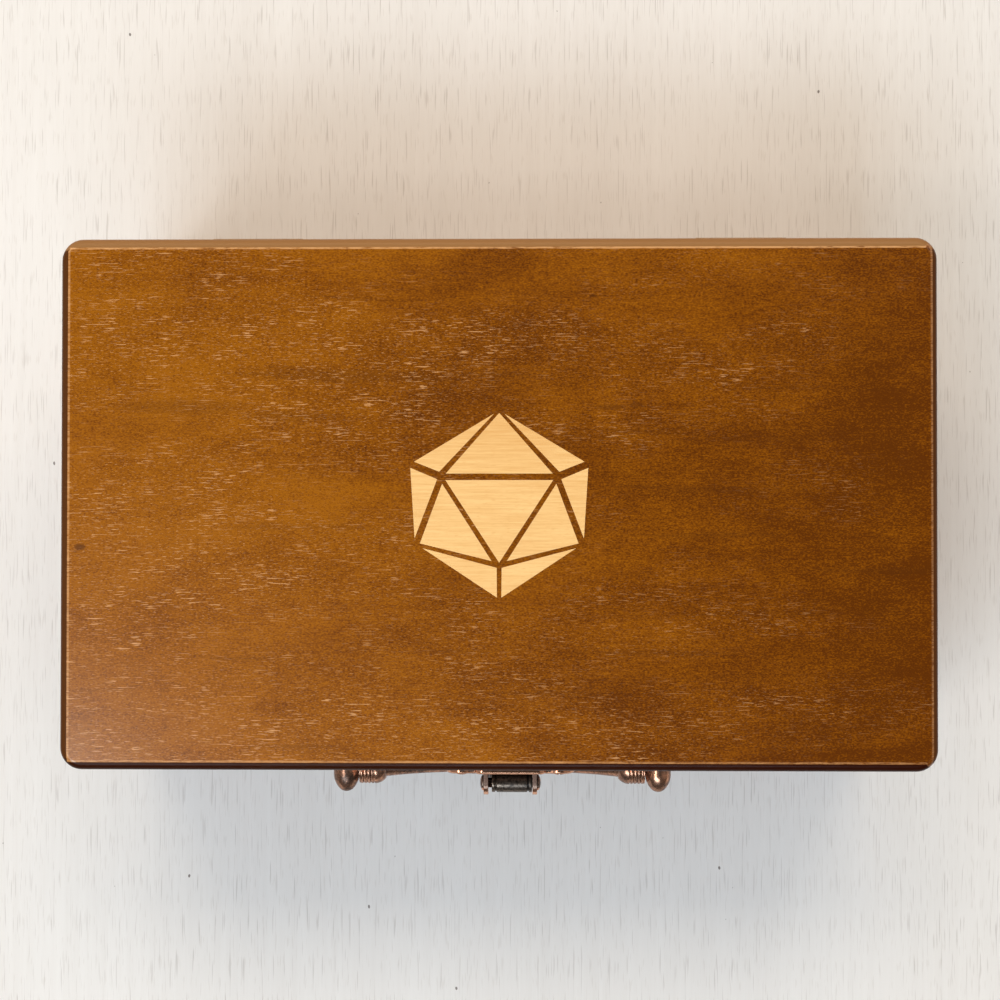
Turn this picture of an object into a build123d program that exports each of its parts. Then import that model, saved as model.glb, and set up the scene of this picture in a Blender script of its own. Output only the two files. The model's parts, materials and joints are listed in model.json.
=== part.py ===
from build123d import *

import os
from math import asin, atan2, cos, degrees, sin, sqrt

# A dice storage chest: a stained wooden case with a drawer below, a lift-out tray above and a
# hinged lid with an inlaid icosahedron. Millimetres. The origin is the centre of the underside,
# +Z is up, -Y is the front and +X is to the right of someone who faces the front.

# ---- Driving dimensions: the wooden box ----
LENGTH = 280.0  # outside, left to right
WIDTH = 170.0  # outside, front to back
HEIGHT = 120.0  # outside, from the base felt to the top of the lid; the tray bay takes up a change
WALL = 9.0  # case and lid rim boards
CORNER_R = 7.0  # upright outer corners
FELT_T = 1.0  # every felt sheet
FELT_INSET = 5.0  # base felt, in from the outline
BASE_T = 7.0  # base panel
BASE_EDGE_R = 1.8  # rounding of the base panel's lower edge
DRAWER_BAY_H = 46.0  # opening for the drawer
SHELF_T = 4.0  # shelf between the two bays
RIM_H = 18.0  # lid rim boards
PANEL_T = 8.0  # lid panel
PANEL_EDGE_R = 2.5  # round-over along the lid's top edge
SEAM_CHAMFER = 0.5  # outer edges where the lid meets the case
TONGUE = 3.0  # tongues of the boards, long and thick
GROOVE = 2.0  # depth of the grooves that hold the panels

# ---- Driving dimensions: the inlay ----
INLAY_HALF = 28.35  # half the width of the figure
INLAY_T = 1.2  # thickness of the facets, and depth of their pockets
INLAY_X = 0.6  # middle of the figure, right of the middle of the lid
INLAY_Y = -0.3  # and in front of it

# ---- Driving dimensions: the drawer ----
DRAWER_GAP = 0.8  # round the drawer front and beside the drawer
DRAWER_FRONT_T = 9.0
DRAWER_EDGE_R = 0.8  # eased edges of the drawer front
DRAWER_WALL = 6.0
DRAWER_HEADROOM = 3.0  # above the drawer's sides
DRAWER_BACK_GAP = 2.0  # behind the drawer
DRAWER_BOTTOM_T = 3.0
DRAWER_BOTTOM_UP = 2.0  # from the lower edge of the drawer's sides to its bottom panel
DRAWER_COLUMNS = 3
DRAWER_ROWS = 2
DRAWER_DIVIDER_DROP = 4.0  # dividers below the upper edge of the drawer's sides
DRAWER_TRAVEL = 115.0
RUNNER_W = 8.0
RUNNER_T = 1.5
RUN_CLEAR = 0.2  # between the drawer and its runners

# ---- Driving dimensions: the tray ----
TRAY_GAP = 1.0  # round the tray
TRAY_WALL = 5.0
TRAY_BELOW_SEAM = 5.0  # from the tray's upper edge to the seam of the lid
TRAY_BOTTOM_T = 3.0
TRAY_COLUMNS = 5
TRAY_ROWS = 3
TRAY_DIVIDER_DROP = 2.0  # dividers below the tray's upper edge
TRAY_TRAVEL = 20.0
NOTCH_R = 10.0  # finger notches in the tray's ends
NOTCH_DEPTH = 11.0
DIVIDER_T = 4.0
LAP_CLEAR = 0.1  # in the half laps of the dividers
FELT_CLEAR = 0.3  # between a lining and the walls round it
FINGERS = 5  # in each finger joint

# ---- Driving dimensions: the stop hinges ----
HINGE_IN = 60.0  # from an end of the box to the middle of a hinge
HINGE_L = 30.0
HINGE_OUT = 1.0  # from the back face to the hinge axis
KNUCKLES = 5
KNUCKLE_R = 1.6
KNUCKLE_GAP = 0.2
HINGE_PIN_R = 0.8
HINGE_PIN_HEAD_R = 1.3
HINGE_PIN_HEAD_T = 0.6
PIN_CLEAR = 0.05
LEAF_T = 1.0
LEAF_W = 6.5  # from the back face in
STOP_REACH = 3.6  # from the hinge axis to the edge of the stop heels
STOP_CLEAR_DEG = 1.0
LID_OPEN_DEG = 95.0
MORTISE_CLEAR = 0.3
HINGE_SCREWS = 2  # in each leaf
HINGE_SCREW_PITCH = 18.0
HINGE_SCREW_IN = 4.2  # from the back face
HINGE_SCREW_D = 1.6
HINGE_SCREW_HEAD_D = 3.2
HINGE_SCREW_L = 8.0

# ---- Driving dimensions: the latch ----
LATCH_X = 4.0  # middle of the latch, right of the middle of the chest
LATCH_UP = 8.0  # from the seam to the hasp's pin
LATCH_OUT = 5.9  # from the front face to the hasp's pin
LATCH_PLATE_W = 42.0
LATCH_PLATE_H = 13.0
LATCH_PLATE_T = 2.5
LATCH_LOBE_R = 5.0  # rounded ends of both plates
PLATE_WAIST = 8.6  # height of a plate between its middle and its ends
PLATE_BODY_W = 23.0  # width of a plate's tall middle
PLATE_CHAMFER = 0.5
EAR_T = 1.5
EAR_R = 3.9
EAR_ROOT_H = 9.0
BARREL_L = 13.1
BARREL_R = 3.1
BARREL_PLAY_LEFT = 1.15
BARREL_PLAY_RIGHT = 0.15
BARREL_RING_IN = 1.3  # from a barrel end to its turned ring groove
BARREL_RING_W = 0.6
BARREL_RING_DEPTH = 0.35
LATCH_PIN_R = 1.6
LATCH_PIN_HEAD_R = 2.6
LATCH_PIN_HEAD_T = 1.2
TONGUE_T = 1.6  # hasp
HASP_NECK_W = 9.6
HASP_DISC_R = 8.0
HASP_REACH = 26.0  # from the pin to the finger bead
HASP_BEAD_R = 1.6
HASP_BEAD_L = 8.0
SLOT_W = 8.6
SLOT_H = 5.6
CATCH_DOWN = 9.0  # from the seam to the middle of the catch nose
CATCH_PLATE_W = 36.0
CATCH_PLATE_H = 15.0
CATCH_PLATE_T = 1.6
NOSE_CLEAR = 0.5  # from the nose to the hanging hasp
NOSE_PLAY = 1.2  # from the nose to the slot's edges
HASP_REST_CLEAR = 0.3  # from the pressed hasp to the catch plate
HASP_SWING_DEG = 100.0
PLATE_SCREW_D = 2.0
PLATE_SCREW_HEAD_D = 4.2
PLATE_SCREW_HEAD_H = 0.8
PLATE_SCREW_L = 7.0

# ---- Driving dimensions: the bail pull ----
HANDLE_SPAN = 113.6  # between the middles of the posts
POST_R = 4.7
POST_REACH = 18.7  # from the drawer front to the tip
POST_SIDE_R = 8.0  # curve of the dome where it leaves the stem
POST_TIP_R = 3.5  # curve of the dome's tip
POST_FOOT_R = 6.5
POST_FOOT_T = 1.4
POST_FLARE = 1.6  # length of the flare above the foot
BAIL_OUT = 10.3  # from the drawer front to the bail's pivot
SPIGOT_R = 1.8
SPIGOT_CLEAR = 0.05
SPIGOT_IN = 4.6  # depth of the socket in a post
POST_CLEAR = 0.25  # between a post and the bail's end
BULB_L = 9.6
BULB_R = 5.5
BULB_STRAIGHT = 5.6  # length of the ringed cylinder before the bulb's nose
BULB_NOSE_R = 5.0  # curve of the nose
BULB_RINGS = 4
BULB_RING_PITCH = 1.3
BULB_GROOVE_W = 0.5  # grooves either side of each ring
BULB_GROOVE_DEPTH = 0.35
BAR_DROP = 11.5
BAR_END_R = 3.2
BAR_MIDDLE_R = 2.5
BAR_FLARE_POWER = 4  # how late the bar thickens towards its ends
BAR_SECTIONS = 9
BAIL_FACE_CLEAR = 0.6
HANDLE_SCREW_R = 1.5
HANDLE_SCREW_IN = 6.0  # into the post
HANDLE_SCREW_HEAD_R = 3.2
HANDLE_SCREW_HEAD_H = 1.8

# ---- Levels and faces that follow from them ----
X_OUT = LENGTH / 2
Y_OUT = WIDTH / 2
X_IN = X_OUT - WALL
Y_IN = Y_OUT - WALL
Z_BASE = FELT_T
Z_FLOOR = Z_BASE + BASE_T
Z_SHELF = Z_FLOOR + DRAWER_BAY_H
Z_DECK = Z_SHELF + SHELF_T
Z_TOP = HEIGHT
Z_RIM = Z_TOP - PANEL_T
Z_SEAM = Z_RIM - RIM_H

DRAWER_X = X_IN - DRAWER_GAP
DRAWER_BACK_Y = Y_IN - DRAWER_BACK_GAP
DRAWER_FRONT_BACK_Y = -Y_OUT + DRAWER_FRONT_T
DRAWER_LOW = Z_FLOOR + RUNNER_T + RUN_CLEAR
DRAWER_HIGH = Z_SHELF - DRAWER_HEADROOM
DRAWER_FLOOR = DRAWER_LOW + DRAWER_BOTTOM_UP + DRAWER_BOTTOM_T

TRAY_X = X_IN - TRAY_GAP
TRAY_Y = Y_IN - TRAY_GAP
TRAY_LOW = Z_DECK + FELT_T
TRAY_HIGH = Z_SEAM - TRAY_BELOW_SEAM
TRAY_FLOOR = TRAY_LOW + TRAY_BOTTOM_T

HINGE_X = X_OUT - HINGE_IN
HINGE_AXIS_Y = Y_OUT + HINGE_OUT
LATCH_Y = -Y_OUT - LATCH_OUT
LATCH_Z = Z_SEAM + LATCH_UP
CATCH_Z = Z_SEAM - CATCH_DOWN
HASP_GAP = LATCH_OUT - TONGUE_T / 2 - CATCH_PLATE_T - HASP_REST_CLEAR
HASP_PRESS_DEG = degrees(asin(HASP_GAP / (HASP_REACH + HASP_BEAD_R)))

HANDLE_Z = (Z_FLOOR + Z_SHELF) / 2
BAIL_Y = -Y_OUT - BAIL_OUT
POST_X = HANDLE_SPAN / 2
BULB_X = POST_X - POST_R - POST_CLEAR
BULB_END_X = BULB_X - BULB_L
BAIL_IN_DEG = degrees(asin((BAIL_OUT - BAR_MIDDLE_R - BAIL_FACE_CLEAR) / BAR_DROP))

# The two facets that lie across the figure's centre line and those right of it, as corner points
# in half widths of the figure from the middle of the lid. The grooves between them stay lid wood.
CROSSING_RATIOS = {
    "crown": ((0.0, 1.034), (0.601, 0.352), (-0.601, 0.352)),
    "centre": ((0.606, 0.279), (-0.606, 0.279), (0.0, -0.649)),
}
SIDE_RATIOS = {
    "shoulder": ((0.058, 1.025), (0.958, 0.485), (0.675, 0.372)),
    "flank": ((1.0, 0.416), (0.698, 0.288), (0.951, -0.376)),
    "hip": ((0.642, 0.237), (0.891, -0.433), (0.085, -0.631)),
    "foot": ((0.864, -0.486), (0.028, -0.707), (0.025, -1.041)),
}


# ---- Helpers ----
def block(x, y, z):
    """Give a box from (low, high) pairs along the three axes."""
    size = [high - low for low, high in (x, y, z)]
    middle = [(high + low) / 2 for low, high in (x, y, z)]
    return Pos(*middle) * Box(*size)


def slab(low, high, inset=0.0):
    """Give the chest's outline, drawn in by inset, between two heights."""
    outline = RectangleRounded(LENGTH - 2 * inset, WIDTH - 2 * inset, CORNER_R)
    return Pos(0, 0, low) * extrude(outline, high - low)


def rod(radius, start, end):
    """Give a cylinder between two points."""
    axis = Vector(*end) - Vector(*start)
    return extrude(Plane(origin=start, z_dir=axis) * Circle(radius), axis.length)


def turned(profile):
    """Give the solid that a closed outline of the XZ plane makes when turned about the Z axis."""
    return revolve(make_face(Plane.XZ * profile), Axis.Z)


def facing(z_dir, origin):
    """Give the place of a turned piece whose Z axis points along z_dir."""
    return Plane(origin=origin, x_dir=(1, 0, 0), z_dir=z_dir).location


def mirrored_x(solid):
    """Give the same solid on the other side of the chest's middle."""
    return mirror(solid, about=Plane.YZ)


def countersunk_screw(diameter, head_diameter, length):
    """Give a wood screw with a flat head, its head's face at the origin and its shank down."""
    cone = (head_diameter - diameter) / 2
    radius = diameter / 2
    points = [(0, 0), (head_diameter / 2, 0), (radius, -cone), (radius, radius - length), (0, -length)]
    return turned(Polyline(points, close=True))


def round_screw(diameter, head_diameter, head_height, length):
    """Give a wood screw with a domed head, its head's underside at the origin and its shank down."""
    radius = diameter / 2
    dome = ThreePointArc(
        (0, head_height), (head_diameter / 4, head_height * 0.86), (head_diameter / 2, 0)
    )
    shank = Polyline((head_diameter / 2, 0), (radius, 0), (radius, radius - length), (0, -length))
    return turned(dome + shank + Line((0, -length), (0, head_height)))


def finger_joint(board, other, corner, low, high, first):
    """Cut one board's fingers at a corner that it shares with another board.

    The corner's height is shared out in FINGERS slices, and the board loses every second one,
    starting with the slice number first. The other board is cut with the other start.
    """
    step = (high - low) / FINGERS
    for number in range(first, FINGERS, 2):
        slice_of_corner = (low + number * step, low + (number + 1) * step)
        board -= block(corner[0], corner[1], slice_of_corner) & other
    return board


def jointed(sides, ends, low, high):
    """Cut finger joints where two side boards cross two end boards.

    sides and ends are dicts of name to (solid, x range, y range). Returns name to solid.
    """
    done = {}
    for boards, others, first in ((sides, ends, 0), (ends, sides, 1)):
        for name, (solid, x, y) in boards.items():
            for other, other_x, other_y in others.values():
                corner = (
                    (max(x[0], other_x[0]), min(x[1], other_x[1])),
                    (max(y[0], other_y[0]), min(y[1], other_y[1])),
                )
                solid = finger_joint(solid, other, corner, low, high, first)
            done[name] = solid
    return done


def spaced(low, high, cells):
    """Give the middles of the dividers that part a span into equal cells."""
    cell = (high - low - (cells - 1) * DIVIDER_T) / cells
    return [low + number * cell + (number - 0.5) * DIVIDER_T for number in range(1, cells)]


def divider_grid(x, y, low, high, columns, rows):
    """Give the long dividers and the cross dividers of a grid, half-lapped where they cross.

    The long ones are slotted from below and the cross ones from above, each to half its height.
    """
    xs = spaced(x[0], x[1], columns)
    ys = spaced(y[0], y[1], rows)
    half = (low + high) / 2
    lap = DIVIDER_T / 2 + LAP_CLEAR
    long_dividers = [block(x, (at - DIVIDER_T / 2, at + DIVIDER_T / 2), (low, high)) for at in ys]
    cross_dividers = [block((at - DIVIDER_T / 2, at + DIVIDER_T / 2), y, (low, high)) for at in xs]
    long_slots = [block((at - lap, at + lap), y, (low, half)) for at in xs]
    cross_slots = [block(x, (at - lap, at + lap), (half, high)) for at in ys]
    long_dividers = [board - long_slots for board in long_dividers]
    cross_dividers = [board - cross_slots for board in cross_dividers]
    return long_dividers, cross_dividers


# ---- Inlay ----
def inlay_facets():
    """Give the ten facets of the icosahedron, let into the top of the lid panel."""
    outlines = list(CROSSING_RATIOS.values()) + list(SIDE_RATIOS.values())
    outlines += [tuple((-x, y) for x, y in corners) for corners in SIDE_RATIOS.values()]
    facets = []
    for corners in outlines:
        points = [(x * INLAY_HALF, y * INLAY_HALF) for x, y in corners]
        face = make_face(Polyline(points, close=True))
        facets.append(Pos(INLAY_X, INLAY_Y, Z_TOP - INLAY_T) * extrude(face, INLAY_T, dir=(0, 0, 1)))
    return facets


# ---- Stop hinges ----
def hinge_stations(own):
    """Give the x ranges of a leaf's knuckles, every second one from own, about the hinge."""
    pitch = HINGE_L / KNUCKLES
    edges = [-HINGE_L / 2 + number * pitch for number in range(KNUCKLES + 1)]
    return [(edges[n] + KNUCKLE_GAP / 2, edges[n + 1] - KNUCKLE_GAP / 2) for n in range(own, KNUCKLES, 2)]


def hinge_leaf(middle_x, own, screws):
    """Give a leaf that lies in the case's upper edge, with its knuckles and its stop heel."""
    half = (HINGE_L - KNUCKLE_GAP) / 2
    leaf = block((-half, half), (-HINGE_OUT - LEAF_W, 0), (-LEAF_T, 0))
    heel_deg = (LID_OPEN_DEG + STOP_CLEAR_DEG) / 2
    leaf += Rot(X=-heel_deg) * block((-half, half), (KNUCKLE_R - LEAF_T / 2, STOP_REACH), (-LEAF_T, 0))
    for low, high in hinge_stations(1 - own):
        room = (low - KNUCKLE_GAP, high + KNUCKLE_GAP)
        leaf -= rod(KNUCKLE_R + KNUCKLE_GAP, (room[0], 0, 0), (room[1], 0, 0))
    for low, high in hinge_stations(own):
        leaf += rod(KNUCKLE_R, (low, 0, 0), (high, 0, 0))
    leaf -= rod(HINGE_PIN_R + PIN_CLEAR, (-half, 0, 0), (half, 0, 0))
    return Pos(middle_x, HINGE_AXIS_Y, Z_SEAM) * leaf - screws


def hinge_screws(middle_x):
    """Give the screws that hold a leaf down on the case's upper edge."""
    first = middle_x - (HINGE_SCREWS - 1) * HINGE_SCREW_PITCH / 2
    screw = countersunk_screw(HINGE_SCREW_D, HINGE_SCREW_HEAD_D, HINGE_SCREW_L)
    return [
        Pos(first + number * HINGE_SCREW_PITCH, Y_OUT - HINGE_SCREW_IN, Z_SEAM) * screw
        for number in range(HINGE_SCREWS)
    ]


def hinge_pin(middle_x):
    """Give a hinge pin with a small head at each end."""
    half = (HINGE_L - KNUCKLE_GAP) / 2
    pin = rod(HINGE_PIN_R, (-half, 0, 0), (half, 0, 0))
    for side in (-1, 1):
        head = rod(HINGE_PIN_HEAD_R, (side * half, 0, 0), (side * (half + HINGE_PIN_HEAD_T), 0, 0))
        rim = head.edges().filter_by(GeomType.CIRCLE).sort_by(Axis.X)[-1 if side > 0 else 0]
        pin += chamfer(rim, HINGE_PIN_HEAD_T / 2)
    return Pos(middle_x, HINGE_AXIS_Y, Z_SEAM) * pin


def hinge_mortise(middle_x):
    """Give the room that a hinge needs in the case's and the lid's back edges."""
    half = HINGE_L / 2
    ends = half + HINGE_PIN_HEAD_T + MORTISE_CLEAR
    room = block((-half, half), (-HINGE_OUT - LEAF_W, 0), (-LEAF_T, LEAF_T))
    room += rod(KNUCKLE_R + MORTISE_CLEAR, (-ends, 0, 0), (ends, 0, 0))
    return Pos(middle_x, HINGE_AXIS_Y, Z_SEAM) * room


def hinges():
    """Give the nodes of both hinges, and the mortises that they lie in."""
    nodes = {"hinge_screws_case": [], "hinge_screws_lid": []}
    mortises = []
    seam = Plane.XY.offset(Z_SEAM)
    for side, middle_x in (("left", -HINGE_X), ("right", HINGE_X)):
        screws = hinge_screws(middle_x)
        nodes[f"hinge_leaf_case_{side}"] = hinge_leaf(middle_x, 0, screws)
        nodes[f"hinge_leaf_lid_{side}"] = mirror(hinge_leaf(middle_x, 1, screws), about=seam)
        nodes[f"hinge_pin_{side}"] = hinge_pin(middle_x)
        nodes["hinge_screws_case"] += screws
        nodes["hinge_screws_lid"] += [mirror(screw, about=seam) for screw in screws]
        mortises.append(hinge_mortise(middle_x))
    return nodes, mortises


# ---- Latch ----
def lobed_plate(width, height, thickness, middle_z):
    """Give a fitting's back plate on the front face: a tall middle with a rounded lobe each side."""
    lobe_x = width / 2 - LATCH_LOBE_R
    outline = Rectangle(2 * lobe_x, PLATE_WAIST) + RectangleRounded(PLATE_BODY_W, height, height / 5)
    outline += [Pos(side * lobe_x, 0) * Circle(LATCH_LOBE_R) for side in (-1, 1)]
    face = Plane(origin=(LATCH_X, -Y_OUT, middle_z), x_dir=(1, 0, 0), z_dir=(0, -1, 0))
    plate = extrude(face * outline, thickness)
    rim = plate.faces().sort_by(Axis.Y)[0].outer_wire().edges()
    return chamfer(rim, PLATE_CHAMFER)


def plate_screws(width, thickness, middle_z):
    """Give the two domed screws in a plate's lobes."""
    screw = round_screw(PLATE_SCREW_D, PLATE_SCREW_HEAD_D, PLATE_SCREW_HEAD_H, PLATE_SCREW_L)
    lobe_x = width / 2 - LATCH_LOBE_R
    return [
        facing((0, -1, 0), (LATCH_X + side * lobe_x, -Y_OUT - thickness, middle_z)) * screw
        for side in (-1, 1)
    ]


def latch_ears():
    """Give the x ranges of the two ears, either side of the barrel's room."""
    room = BARREL_PLAY_LEFT + BARREL_L + BARREL_PLAY_RIGHT
    return [
        (LATCH_X - room / 2 - EAR_T, LATCH_X - room / 2),
        (LATCH_X + room / 2, LATCH_X + room / 2 + EAR_T),
    ]


def latch_plate():
    """Give the plate on the lid's front, with the two ears that carry the hasp's pin."""
    plate = lobed_plate(LATCH_PLATE_W, LATCH_PLATE_H, LATCH_PLATE_T, LATCH_Z)
    lug = make_hull([
        Pos(LATCH_Y, LATCH_Z) * Edge.make_circle(EAR_R),
        Edge.make_line(
            (-Y_OUT - LATCH_PLATE_T / 2, LATCH_Z - EAR_ROOT_H / 2),
            (-Y_OUT - LATCH_PLATE_T / 2, LATCH_Z + EAR_ROOT_H / 2),
        ),
    ])
    for low, high in latch_ears():
        ear = extrude(Plane.YZ * lug, high - low, dir=(1, 0, 0))
        plate += Pos(low, 0, 0) * ear
    ears = latch_ears()
    return plate - rod(LATCH_PIN_R, (ears[0][0], LATCH_Y, LATCH_Z), (ears[1][1], LATCH_Y, LATCH_Z))


def latch_pin():
    """Give the pin through the ears, with a chamfered head against each outer face."""
    ears = latch_ears()
    pin = rod(LATCH_PIN_R, (ears[0][0], LATCH_Y, LATCH_Z), (ears[1][1], LATCH_Y, LATCH_Z))
    for side, face_x in ((-1, ears[0][0]), (1, ears[1][1])):
        end_x = face_x + side * LATCH_PIN_HEAD_T
        head = rod(LATCH_PIN_HEAD_R, (face_x, LATCH_Y, LATCH_Z), (end_x, LATCH_Y, LATCH_Z))
        rim = head.edges().filter_by(GeomType.CIRCLE).sort_by(Axis.X)[-1 if side > 0 else 0]
        pin += chamfer(rim, LATCH_PIN_HEAD_T / 2)
    return pin


def hasp():
    """Give the hasp: a barrel with turned rings, and a slotted tongue that hangs from it."""
    left = latch_ears()[0][1] + BARREL_PLAY_LEFT
    right = left + BARREL_L
    middle = (left + right) / 2
    barrel = rod(BARREL_R, (left, LATCH_Y, LATCH_Z), (right, LATCH_Y, LATCH_Z))
    for ring in (left + BARREL_RING_IN, right - BARREL_RING_IN):
        span = ((ring - BARREL_RING_W / 2, LATCH_Y, LATCH_Z), (ring + BARREL_RING_W / 2, LATCH_Y, LATCH_Z))
        groove_floor = BARREL_R - BARREL_RING_DEPTH
        barrel -= rod(BARREL_R + BARREL_RING_DEPTH, *span) - rod(groove_floor, *span)
    slot_down = LATCH_UP + CATCH_DOWN
    outline = Pos(0, -slot_down / 2) * Rectangle(HASP_NECK_W, slot_down)
    outline += Pos(0, -slot_down) * Circle(HASP_DISC_R)
    outline += Pos(0, -(slot_down + HASP_REACH) / 2) * Rectangle(HASP_BEAD_L, HASP_REACH - slot_down)
    outline -= Pos(LATCH_X - middle, -slot_down) * RectangleRounded(SLOT_W, SLOT_H, SLOT_H / 5)
    face = Plane(origin=(middle, LATCH_Y + TONGUE_T / 2, LATCH_Z), x_dir=(1, 0, 0), z_dir=(0, -1, 0))
    tongue = extrude(face * outline, TONGUE_T)
    bead_y = LATCH_Y + TONGUE_T / 2 - HASP_BEAD_R
    bead_z = LATCH_Z - HASP_REACH
    bead_ends = [(middle + side * HASP_BEAD_L / 2, bead_y, bead_z) for side in (-1, 1)]
    bore = rod(LATCH_PIN_R + PIN_CLEAR, (left, LATCH_Y, LATCH_Z), (right, LATCH_Y, LATCH_Z))
    return barrel + tongue + rod(HASP_BEAD_R, *bead_ends) - bore


def catch_plate():
    """Give the plate on the apron, with the nose that the hasp's slot goes over."""
    plate = lobed_plate(CATCH_PLATE_W, CATCH_PLATE_H, CATCH_PLATE_T, CATCH_Z)
    reach = LATCH_OUT - TONGUE_T / 2 - NOSE_CLEAR
    half_w = SLOT_W / 2 - NOSE_PLAY
    half_h = SLOT_H / 2 - NOSE_PLAY
    x = (LATCH_X - half_w, LATCH_X + half_w)
    nose = block(x, (-Y_OUT - reach, -Y_OUT - CATCH_PLATE_T / 2), (CATCH_Z - half_h, CATCH_Z + half_h))
    tip = nose.faces().sort_by(Axis.Y)[0].edges()
    return plate + chamfer(tip, half_h / 3)


def latch():
    """Give the nodes of the latch."""
    lid_screws = plate_screws(LATCH_PLATE_W, LATCH_PLATE_T, LATCH_Z)
    case_screws = plate_screws(CATCH_PLATE_W, CATCH_PLATE_T, CATCH_Z)
    return {
        "latch_plate": latch_plate() - lid_screws,
        "latch_pin": latch_pin(),
        "latch_screws": lid_screws,
        "hasp": hasp(),
        "catch_plate": catch_plate() - case_screws,
        "catch_screws": case_screws,
    }


# ---- Case ----
def case(mortises, screws):
    """Give the nodes of the fixed wooden case."""
    everywhere = (-LENGTH, LENGTH)
    upright = slab(Z_FLOOR, Z_SEAM)
    seam_rim = upright.faces().sort_by(Axis.Z)[-1].outer_wire().edges()
    upright = chamfer(seam_rim, SEAM_CHAMFER)
    heights = (Z_FLOOR, Z_SEAM)
    tongues = (-X_IN - TONGUE, X_IN + TONGUE)
    back = upright & block((-X_IN, X_IN), (Y_IN, Y_OUT), heights)
    back += block(tongues, (Y_IN, Y_IN + TONGUE), (Z_FLOOR, Z_SEAM - TONGUE))
    apron = upright & block((-X_IN, X_IN), (-Y_OUT, -Y_IN), (Z_SHELF, Z_SEAM))
    apron += block(tongues, (-Y_IN - TONGUE, -Y_IN), (Z_SHELF, Z_SEAM - TONGUE))
    panel_x = (-X_IN - GROOVE, X_IN + GROOVE)
    shelf = block(panel_x, (-Y_IN, Y_IN + GROOVE), (Z_SHELF, Z_DECK))
    left = upright & block((-X_OUT, -X_IN), everywhere, heights)
    right = upright & block((X_IN, X_OUT), everywhere, heights)
    base = slab(Z_BASE, Z_FLOOR)
    base = fillet(base.faces().sort_by(Axis.Z)[0].outer_wire().edges(), BASE_EDGE_R)
    lining = block(
        (-X_IN + FELT_CLEAR, X_IN - FELT_CLEAR),
        (-Y_IN + FELT_CLEAR, Y_IN - FELT_CLEAR),
        (Z_DECK, Z_DECK + FELT_T),
    )
    runner_y = (DRAWER_FRONT_BACK_Y + DRAWER_GAP, Y_IN)
    runner = block((X_IN - RUNNER_W, X_IN), runner_y, (Z_FLOOR, Z_FLOOR + RUNNER_T))
    return {
        "base_felt": slab(0, Z_BASE, FELT_INSET),
        "base_panel": base,
        "case_side_left": left - back - apron - shelf,
        "case_side_right": right - back - apron - shelf,
        "case_back": back - shelf - mortises - screws["hinge_screws_case"],
        "case_apron": apron - screws["catch_screws"],
        "shelf": shelf,
        "shelf_felt": lining,
        "drawer_runners": [runner, mirrored_x(runner)],
    }


# ---- Lid ----
def lid(mortises, screws, facets):
    """Give the nodes of the lid's woodwork: mitred rim boards, panel and lining."""
    ring = slab(Z_SEAM, Z_RIM)
    ring = chamfer(ring.faces().sort_by(Axis.Z)[0].outer_wire().edges(), SEAM_CHAMFER)
    ring -= block((-X_IN, X_IN), (-Y_IN, Y_IN), (Z_SEAM, Z_RIM))
    # The mitres leave each corner at 45 degrees, so a side wedge's point lies this far out.
    reach = Y_OUT
    wedge = Polyline((X_OUT, reach), (X_OUT, -reach), (X_OUT - reach, 0), close=True)
    side = extrude(make_face(wedge), Z_RIM - Z_SEAM, dir=(0, 0, 1))
    side = Pos(0, 0, Z_SEAM) * side
    right = ring & side
    left = ring & mirrored_x(side)
    rest = ring - side - mirrored_x(side)
    back, front = rest.solids().sort_by(Axis.Y)[-1], rest.solids().sort_by(Axis.Y)[0]
    panel = slab(Z_RIM, Z_TOP)
    panel = fillet(panel.faces().sort_by(Axis.Z)[-1].outer_wire().edges(), PANEL_EDGE_R)
    lining = block(
        (-X_IN + FELT_CLEAR, X_IN - FELT_CLEAR),
        (-Y_IN + FELT_CLEAR, Y_IN - FELT_CLEAR),
        (Z_RIM - FELT_T, Z_RIM),
    )
    return {
        "lid_panel": panel - facets,
        "lid_rim_front": front - screws["latch_screws"],
        "lid_rim_back": back - mortises - screws["hinge_screws_lid"],
        "lid_rim_left": left,
        "lid_rim_right": right,
        "lid_felt": lining,
    }


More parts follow.
